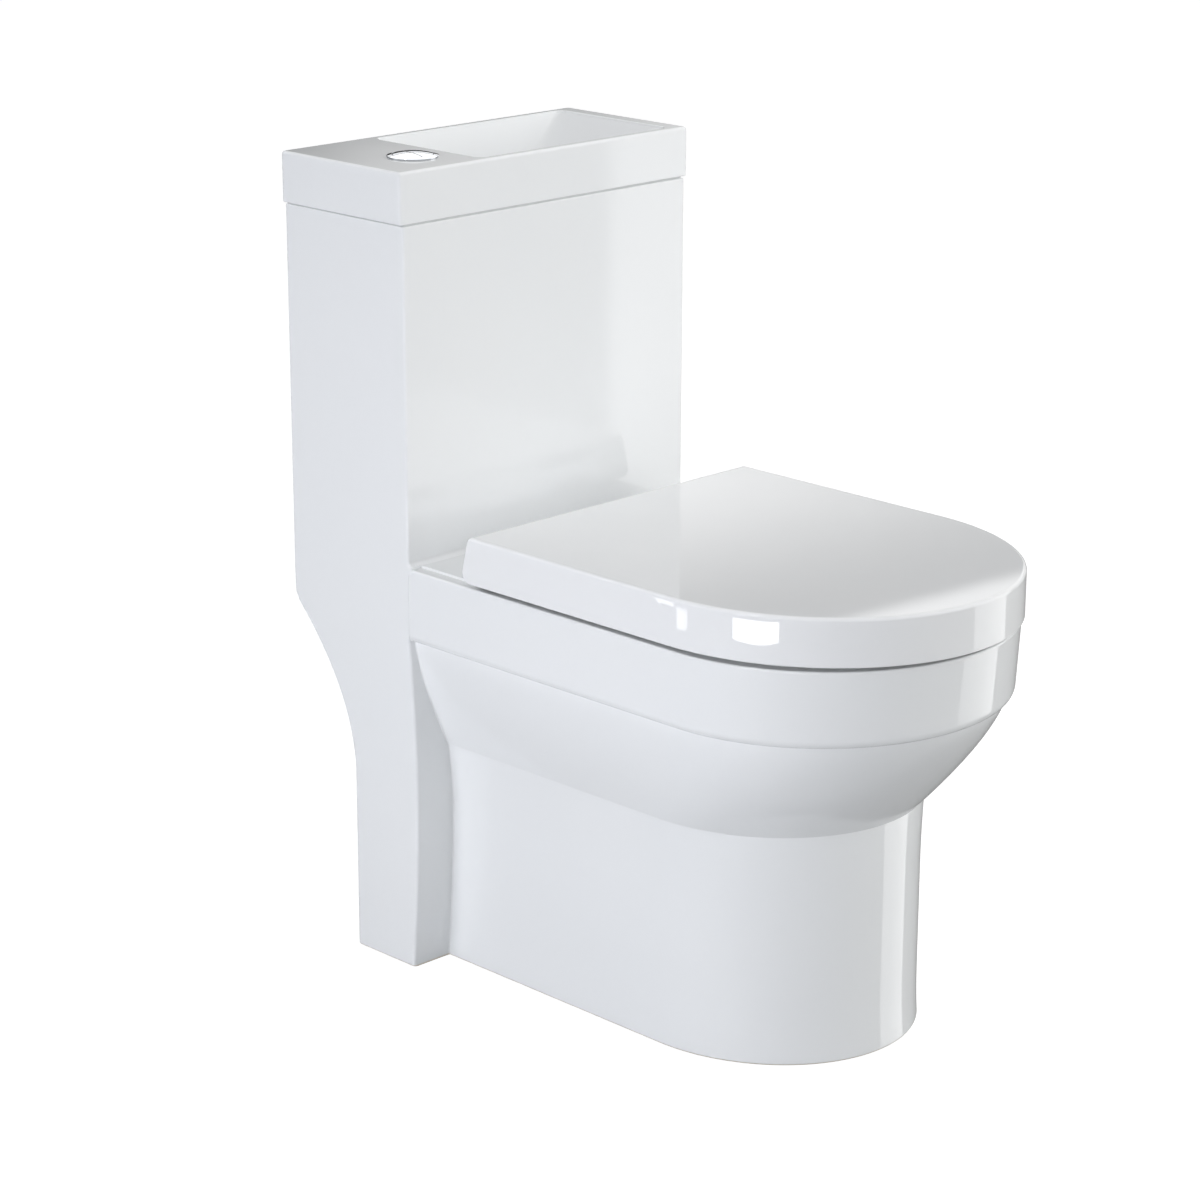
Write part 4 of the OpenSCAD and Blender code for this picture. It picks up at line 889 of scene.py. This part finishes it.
def hinge_post_pair():
    """Chromed posts: a round foot, a stem and the barrel that holds the pin."""
    base, top, edge_r = RIM_H + 1, RIM_H + 1 + POST_FOOT_H, 1.4
    made = []
    for x in (-HINGE_X, HINGE_X):
        x0, x1 = x - POST_HALF_W, x + POST_HALF_W
        profile = [(0, base), (POST_FOOT_R, base), (POST_FOOT_R, top - edge_r),
                   *arc(POST_FOOT_R - edge_r, top - edge_r, edge_r, 0, 90), (9.5, top), (0, top)]
        foot = turned("hinge_post", x, HINGE_D, profile, 72)
        stem = block("post_stem", x0, x1, HINGE_D - 7, HINGE_D + 7, base + 1, HINGE_Z, 1.2)
        added(foot, stem, hinge_bar(x0, x1, KNUCKLE_R, 72))
        cut(foot, hinge_bar(x0 - 1, x1 + 1, PIN_R),
            straight_bore(x, HINGE_D, PIN_R, RIM_H - 1, RIM_H + 12))
        made.append(soften(foot, 0.4, 2, 50))
    pair = added(*made)
    pair.name = "hinge_post_pair"
    return shaded(pair)


# ---- finishes


def colour(code):
    """A hex sRGB colour as linear RGBA."""
    parts = [int(code[i:i + 2], 16) / 255 for i in (1, 3, 5)]
    return [c / 12.92 if c <= 0.04045 else ((c + 0.055) / 1.055) ** 2.4 for c in parts] + [1.0]


def add(tree, kind, links=None, **values):
    """A node with its settings, its fixed inputs, and links from other nodes' outputs."""
    node = tree.nodes.new("ShaderNode" + kind)
    for key, value in values.items():
        if hasattr(node, key):
            setattr(node, key, value)
        else:
            node.inputs[key.replace("_", " ")].default_value = value
    for name, source in (links or {}).items():
        tree.links.new(source, node.inputs[name])
    return node


def finish(name, base, roughness, metallic=0.0, **shader_values):
    """An empty finish: a Principled shader with its constants, and the object's coordinates."""
    mat = bpy.data.materials.new(name)
    mat.use_nodes = True
    tree = mat.node_tree
    tree.nodes.clear()
    shader = add(tree, "BsdfPrincipled", Base_Color=colour(base), Roughness=roughness,
                 Metallic=metallic, **shader_values)
    add(tree, "OutputMaterial", {"Surface": shader.outputs["BSDF"]})
    return mat, tree, shader, add(tree, "TexCoord").outputs["Object"]


def ranged(tree, source, low, high):
    """A pattern that runs from 0 to 1, stretched to run between two numbers."""
    return add(tree, "MapRange", {"Value": source}, To_Min=low, To_Max=high).outputs["Result"]


def vary(tree, shader, socket, source, low, high):
    """Lets a pattern drive a shader socket between two numbers."""
    tree.links.new(ranged(tree, source, low, high), shader.inputs[socket])


def mixed(tree, kind, factor, first, second):
    """A value or colour between two, each a number, a hex colour or another node's output."""
    mix = add(tree, "Mix", {"Factor": factor}, data_type=kind)
    socket, result = (6, 2) if kind == "RGBA" else (2, 0)
    for i, value in enumerate((first, second)):
        if isinstance(value, str):
            mix.inputs[socket + i].default_value = colour(value)
        elif isinstance(value, (int, float)):
            mix.inputs[socket + i].default_value = value
        else:
            tree.links.new(value, mix.inputs[socket + i])
    return mix.outputs[result]


def tint(tree, shader, source, first, second):
    """Lets a pattern drive the base colour between two colours."""
    tree.links.new(mixed(tree, "RGBA", source, first, second), shader.inputs["Base Color"])


def relief(tree, shader, height, distance, strength, under=None):
    """Fine unevenness of the surface, if need be on top of another."""
    bump = add(tree, "Bump", {"Height": height}, Distance=distance, Strength=strength)
    if under:
        tree.links.new(under.outputs["Normal"], bump.inputs["Normal"])
    tree.links.new(bump.outputs["Normal"], shader.inputs["Normal"])
    return bump


def noise(tree, where, scale, detail=2.0):
    return add(tree, "TexNoise", {"Vector": where}, Scale=scale, Detail=detail).outputs["Fac"]


def vitreous_china():
    """Slip-cast china under a thick white glaze: faint waves, tiny pinholes, a bare foot."""
    mat, tree, shader, where = finish("vitreous_china", "#F0F1F2", 0.02, IOR=1.52)
    waves = noise(tree, where, 9, 1.0)
    grain = noise(tree, where, 240)
    height = add(tree, "SeparateXYZ", {"Vector": where}).outputs["Z"]
    glazed = add(tree, "MapRange", {"Value": height}, From_Min=0.0008,
                 From_Max=0.0022).outputs["Result"]
    glaze = mixed(tree, "RGBA", noise(tree, where, 3.5), "#EEF0F1", "#F2F3F3")
    tint(tree, shader, glazed, "#D8CFBF", glaze)
    dry, polish = ranged(tree, glazed, 0.75, 0.0), ranged(tree, waves, 0.008, 0.03)
    rough = add(tree, "Math", {0: dry, 1: polish}, operation="ADD")
    tree.links.new(rough.outputs["Value"], shader.inputs["Roughness"])
    under = relief(tree, shader, waves, 0.0002, 0.15)
    relief(tree, shader, grain, 0.00001, 0.12, under)
    return mat


def moulded_thermoset():
    """Compression-moulded seat plastic: even colour, high polish, a trace of flow."""
    mat, tree, shader, where = finish("moulded_thermoset", "#F0F1F2", 0.015, IOR=1.55)
    flow = noise(tree, where, 14)
    tint(tree, shader, flow, "#EFF0F1", "#F2F3F3")
    vary(tree, shader, "Roughness", noise(tree, where, 40, 3.0), 0.008, 0.022)
    relief(tree, shader, flow, 0.0001, 0.08)
    return mat


def chrome_plate():
    """Polished chrome on brass: mirror-like, with the faintest wiping marks."""
    mat, tree, shader, where = finish("chrome_plate", "#D5D8DC", 0.05, 1.0)
    marks = add(tree, "Mapping", {"Vector": where}, Scale=(60, 900, 60)).outputs["Vector"]
    vary(tree, shader, "Roughness", noise(tree, marks, 1.0, 3.0), 0.03, 0.09)
    relief(tree, shader, noise(tree, where, 90, 1.0), 0.00005, 0.2)
    return mat


def drawn_steel():
    """Stainless wire and pins with fine drawing lines along X."""
    mat, tree, shader, where = finish("drawn_steel", "#B4B6B9", 0.3, 1.0)
    drawn = add(tree, "Mapping", {"Vector": where}, Scale=(40, 1800, 1800)).outputs["Vector"]
    lines = noise(tree, drawn, 1.0, 4.0)
    vary(tree, shader, "Roughness", lines, 0.22, 0.4)
    relief(tree, shader, lines, 0.00003, 0.3)
    return mat


def turned_brass():
    """Brass bolts and nuts: fine lathe rings and dull patches where hands held them."""
    mat, tree, shader, where = finish("turned_brass", "#C9A057", 0.3, 1.0)
    patches = noise(tree, where, 60, 3.0)
    tint(tree, shader, patches, "#B98E48", "#D4AE66")
    vary(tree, shader, "Roughness", patches, 0.22, 0.42)
    rings = add(tree, "TexWave", {"Vector": where}, bands_direction="Z", Scale=400.0,
                Distortion=0.4)
    relief(tree, shader, rings.outputs["Fac"], 0.00004, 0.3)
    return mat


def moulded_rubber(name, dark, light):
    """Moulded rubber: matt, finely pitted, with a dusty bloom."""
    mat, tree, shader, where = finish(name, dark, 0.7, IOR=1.5)
    bloom = noise(tree, where, 45, 4.0)
    tint(tree, shader, bloom, dark, light)
    vary(tree, shader, "Roughness", bloom, 0.6, 0.8)
    relief(tree, shader, noise(tree, where, 900), 0.00008, 0.4)
    return mat


def injection_moulding():
    """Pale polypropylene of the valves: satin, spark-eroded texture, slightly milky."""
    mat, tree, shader, where = finish("injection_moulding", "#DADFE2", 0.42, IOR=1.49)
    milk = noise(tree, where, 25)
    tint(tree, shader, milk, "#D3D9DD", "#E1E5E7")
    vary(tree, shader, "Roughness", milk, 0.36, 0.5)
    pits = add(tree, "TexVoronoi", {"Vector": where}, Scale=1400.0).outputs["Distance"]
    relief(tree, shader, pits, 0.00006, 0.35)
    return mat


FINISHES = {
    "ware": vitreous_china(),
    "seat_plastic": moulded_thermoset(),
    "chrome": chrome_plate(),
    "steel": drawn_steel(),
    "brass": turned_brass(),
    "seal_rubber": moulded_rubber("seal_rubber", "#232425", "#343536"),
    "buffer_rubber": moulded_rubber("buffer_rubber", "#C6C8C9", "#D6D8D8"),
    "valve_plastic": injection_moulding(),
}


def dress(obj, slot_name):
    obj.data.materials.clear()
    obj.data.materials.append(FINISHES[slot_name])


def join_object(obj, body, slot_name, *nodes):
    """Gives a new piece its finish and the body it moves with, and hides the CAD nodes it stands
    for.
    """
    dress(obj, slot_name)
    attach(obj, body)
    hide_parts(*nodes)


# ---- the pieces

join_object(glazed_ware(), "ware", "ware", "pan", "bowl", "cistern_stand", "cistern")
join_object(wash_basin(), "ware", "ware", "basin")
join_object(drain_strainer(), "ware", "chrome", "basin_waste")
join_object(button_surround(), "ware", "chrome", "button_ring")
rod_top = top_of("full_push_rod")
join_object(button_half("full_flush_cap", 1, FULL_STEM_X, rod_top), "full_button", "chrome",
            "full_flush_button")
join_object(button_half("half_flush_cap", -1, HALF_STEM_X, rod_top), "half_button", "chrome",
            "half_flush_button")
join_object(wrap_over_lid(), "lid", "seat_plastic", "lid")
join_object(ring_seat(), "seat", "seat_plastic", "seat")
join_object(pads("seat_pads", (RIM_HALF_W + MOUTH_HALF_W) / 2, 16, 6, RIM_H, SEAT_Z), "seat",
            "buffer_rubber", "seat_buffers")
join_object(pads("lid_pads", (SEAT_HALF_W + SEAT_OPEN_HALF_W) / 2, 10, 7, SEAT_TOP,
                 LID_TOP - LID_T), "lid", "buffer_rubber", "lid_buffers")
join_object(hinge_post_pair(), "ware", "chrome", "hinge_posts")

slot_of = {part["node"]: part["material_slot"] for part in frame["record"]["subparts"]}


def button_coil(name, node_name):
    """The CAD spring as its own piece, with its own mesh, fixed to the ware."""
    spring = frame["nodes"][node_name]
    mesh = spring.data.copy()
    mesh.transform(spring.matrix_world)
    coil = linked(name, mesh)
    join_object(coil, "ware", slot_of[node_name], node_name)
    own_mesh(coil)


button_coil("full_button_coil", "full_button_spring")
button_coil("half_button_coil", "half_button_spring")
for node_name, cad in frame["nodes"].items():
    for slot in cad.material_slots:
        slot.material = FINISHES[slot_of[node_name]]
    if not cad.material_slots:
        cad.data.materials.append(FINISHES[slot_of[node_name]])

# ---- floor, world, lamps and camera

FLOOR_HALF_W = 14
FLOOR_Z = -0.0005
FLOOR_TONE = "#B6B7B8"
FLOOR_SEEN = "#8F8F8F"
FLOOR_GLOW = 0.96
SKY_TONE = "#EEF1F5"
SKY_LOW = 0.62
SKY_TOP = 0.0
MIRROR_FLOOR = 0.22
MIRROR_DARK = 0.03
MIRROR_WALL = 0.3
MIRROR_FRONT = 0.5
MIRROR_CEILING = 1.6
MIRROR_PALE = 2.0
MIRROR_GLOW = 1.15
WHITE = "#FFFFFF"
WARM_WHITE = "#FFFEFC"
COOL_WHITE = "#F8F9FF"
OBJECT_MIDDLE = (0, 0, 0.4)
UP = (0, 0, 1)
WALL_AXIS = (0.3, 1, 0)
HAZE_AXIS = (0, -0.42, 1)
CEILING_AXIS = (-0.041, -0.435, 1)


def stage_quad(name, finish_name, corners):
    """A flat piece of the studio with an empty finish; its corners are in metres."""
    mesh = bpy.data.meshes.new(name)
    mesh.from_pydata(corners, [], [(0, 1, 2, 3)])
    obj = linked(name, mesh)
    mat = bpy.data.materials.new(finish_name)
    mat.use_nodes = True
    mat.node_tree.nodes.clear()
    mesh.materials.append(mat)
    return obj, mat.node_tree


def studio_floor():
    """A pale floor that shows white to the camera and keeps the object's shadow."""
    r, z = FLOOR_HALF_W, FLOOR_Z
    obj, tree = stage_quad("studio_floor", "pale_floor",
                           [(-r, -r, z), (r, -r, z), (r, r, z), (-r, r, z)])
    obj.visible_glossy = False
    matt = add(tree, "BsdfDiffuse", Color=colour(FLOOR_TONE))
    seen = add(tree, "BsdfDiffuse", Color=colour(FLOOR_SEEN))
    glow = add(tree, "Emission", Color=colour(WHITE), Strength=FLOOR_GLOW)
    lit = add(tree, "AddShader", {0: seen.outputs[0], 1: glow.outputs[0]})
    seen_directly = add(tree, "LightPath").outputs["Is Camera Ray"]
    mix = add(tree, "MixShader", {0: seen_directly, 1: matt.outputs[0], 2: lit.outputs[0]})
    add(tree, "OutputMaterial", {"Surface": mix.outputs[0]})


def plane_step(tree, direction, axis, start, end):
    """A soft step from 0 to 1 as a direction swings past a plane, given by the axis it faces."""
    dot = add(tree, "VectorMath", {0: direction}, operation="DOT_PRODUCT")
    dot.inputs[1].default_value = axis
    return add(tree, "MapRange", {"Value": dot.outputs["Value"]}, From_Min=start, From_Max=end,
               interpolation_type="SMOOTHSTEP").outputs["Result"]


def facing(azimuth):
    """A level axis by its azimuth, in degrees."""
    return math.cos(math.radians(azimuth)), math.sin(math.radians(azimuth)), 0


def both(tree, first, second):
    return add(tree, "Math", {0: first, 1: second}, operation="MULTIPLY").outputs[0]


def mirrored_studio(tree, direction):
    """What the gloss mirrors: a grey studio, a dark wall behind, a bright ceiling, a pale wall."""
    step, layer = partial(plane_step, tree, direction), partial(mixed, tree, "FLOAT")
    # the floor, and the dark wall above it
    wall = layer(step(UP, -0.22, -0.14), MIRROR_FLOOR, MIRROR_DARK)
    # past the room's corner the upper part of the wall is lighter
    upper = both(tree, step(UP, 0.155, 0.17), step(facing(-40.3), -0.014, 0.014))
    wall = layer(upper, wall, MIRROR_WALL)
    # a bright haze low on the wall, with a lower and an upper edge
    haze = both(tree, step(HAZE_AXIS, -0.17, -0.09), step(HAZE_AXIS, 0.036, -0.016))
    wall = layer(haze, wall, MIRROR_GLOW)
    # the grey studio on the other side
    room = layer(step(WALL_AXIS, -0.1, 0.1), MIRROR_FRONT, wall)
    # the bright ceiling, sharp at its front edge
    ceiling = both(tree, step(CEILING_AXIS, -0.003, 0.003), step(UP, 0.18, 0.26))
    room = layer(ceiling, room, MIRROR_CEILING)
    # the pale wall between two upright edges, down to a low edge
    pale = both(tree, step(facing(44.9), -0.004, 0.004), step(facing(180 + 77), -0.02, 0.02))
    pale = both(tree, pale, step(UP, -0.5, -0.38))
    return layer(pale, room, MIRROR_PALE)


def studio_world():
    """White for the camera, a mirrored studio for the gloss, soft light for the rest."""
    world = bpy.data.worlds.new("studio")
    bpy.context.scene.world = world
    world.use_nodes = True
    tree = world.node_tree
    tree.nodes.clear()
    direction = add(tree, "TexCoord").outputs["Generated"]
    sky = mixed(tree, "FLOAT", plane_step(tree, direction, UP, 0.0, 1.0), SKY_LOW, SKY_TOP)
    soft = add(tree, "Background", {"Strength": sky}, Color=colour(SKY_TONE))
    gloss = add(tree, "Background", {"Strength": mirrored_studio(tree, direction)},
                Color=colour(WHITE))
    white = add(tree, "Background", Color=colour(WHITE), Strength=1.0)
    rays = add(tree, "LightPath")
    lit = add(tree, "MixShader", {0: rays.outputs["Is Glossy Ray"], 1: soft.outputs[0],
                                  2: gloss.outputs[0]})
    seen = add(tree, "MixShader", {0: rays.outputs["Is Camera Ray"], 1: lit.outputs[0],
                                   2: white.outputs[0]})
    add(tree, "OutputWorld", {"Surface": seen.outputs[0]})


def soft_lamp(name, place, width, height, power, tone, aim=OBJECT_MIDDLE):
    """A rectangular lamp that shines from a place towards a point, and isn't mirrored."""
    lamp = bpy.data.lights.new(name, "AREA")
    lamp.shape = "RECTANGLE"
    lamp.size, lamp.size_y = width, height
    lamp.energy = power
    lamp.color = colour(tone)[:3]
    obj = linked(name, lamp)
    obj.location = place
    obj.rotation_euler = (Vector(aim) - Vector(place)).to_track_quat("-Z", "Y").to_euler()
    obj.visible_glossy = False


def mirrored_card(name, strength, corners):
    """A bright card that only the gloss shows, as it mirrors a window."""
    obj, tree = stage_quad(name, name, corners)
    obj.visible_camera = obj.visible_diffuse = obj.visible_shadow = False
    obj.visible_transmission = False
    glow = add(tree, "Emission", Color=colour(WHITE), Strength=strength)
    add(tree, "OutputMaterial", {"Surface": glow.outputs[0]})


# The camera as it was fitted to the photograph's edges: degrees, metres, and the lens in mm
CAMERA_ANGLES = (-44.753, 17.2366, 0.165)
CAMERA_AIM = (-0.0852, 0.0279, 0.3821)
CAMERA_DISTANCE = 3.081
CAMERA_LENS = 101.314


def product_camera():
    """The photograph's view: from the front left, a little above, without shift."""
    azimuth, elevation, roll = (math.radians(a) for a in CAMERA_ANGLES)
    level = math.cos(elevation)
    back = Vector((math.sin(azimuth) * level, -math.cos(azimuth) * level, math.sin(elevation)))
    side = Vector((math.cos(azimuth), math.sin(azimuth), 0))
    up = back.cross(side)
    right, upward = (side * math.cos(roll) + up * math.sin(roll),
                     up * math.cos(roll) - side * math.sin(roll))
    data = bpy.data.cameras.new("product_camera")
    data.lens, data.sensor_width, data.sensor_fit = CAMERA_LENS, 36, "HORIZONTAL"
    data.clip_end = 50
    obj = linked("product_camera", data)
    turn = Matrix((right, upward, back)).transposed().to_4x4()
    obj.matrix_world = Matrix.Translation(Vector(CAMERA_AIM) + back * CAMERA_DISTANCE) @ turn
    bpy.context.scene.camera = obj


studio_floor()
studio_world()
soft_lamp("front_lamp", (0.9, -3.0, 1.3), 2.4, 2.0, 17, WARM_WHITE)
soft_lamp("right_lamp", (2.4, -2.2, 1.4), 1.6, 2.2, 44, WARM_WHITE)
soft_lamp("left_lamp", (-3.0, 0.2, 1.4), 2.0, 2.0, 25, COOL_WHITE)
soft_lamp("low_left_lamp", (-1.5, -0.1, 0.3), 1.3, 0.5, 8, COOL_WHITE, aim=(0, -0.05, 0.3))
soft_lamp("top_lamp", (0.2, -0.4, 3.2), 2.5, 2.5, 31, WHITE)
soft_lamp("back_lamp", (2.4, 2.2, 1.8), 1.6, 1.6, 4, WHITE)
mirrored_card("main_window", 8, [(-0.8, -0.155, 0.248), (-0.8, -0.468, 0.235),
                                 (-0.8, -0.468, 0.203), (-0.8, -0.155, 0.218)])
for side_y in (0.2, 0.345):
    mirrored_card("small_window", 4, [(-0.8, side_y + 0.115, 0.196), (-0.8, side_y, 0.212),
                                      (-0.8, side_y, 0.19), (-0.8, side_y + 0.115, 0.17)])
mirrored_card("high_window", 12, [(-2.7, -0.5, 2.2), (-2.7, -0.1, 2.2), (-2.3, -0.1, 2.6),
                                  (-2.3, -0.5, 2.6)])
mirrored_card("edge_card", 3, [(-1.134, -0.986, 0.12), (-1.346, -0.774, 0.12),
                               (-1.346, -0.774, 0.4), (-1.134, -0.986, 0.4)])
product_camera()
bpy.context.scene.view_settings.view_transform = "Standard"
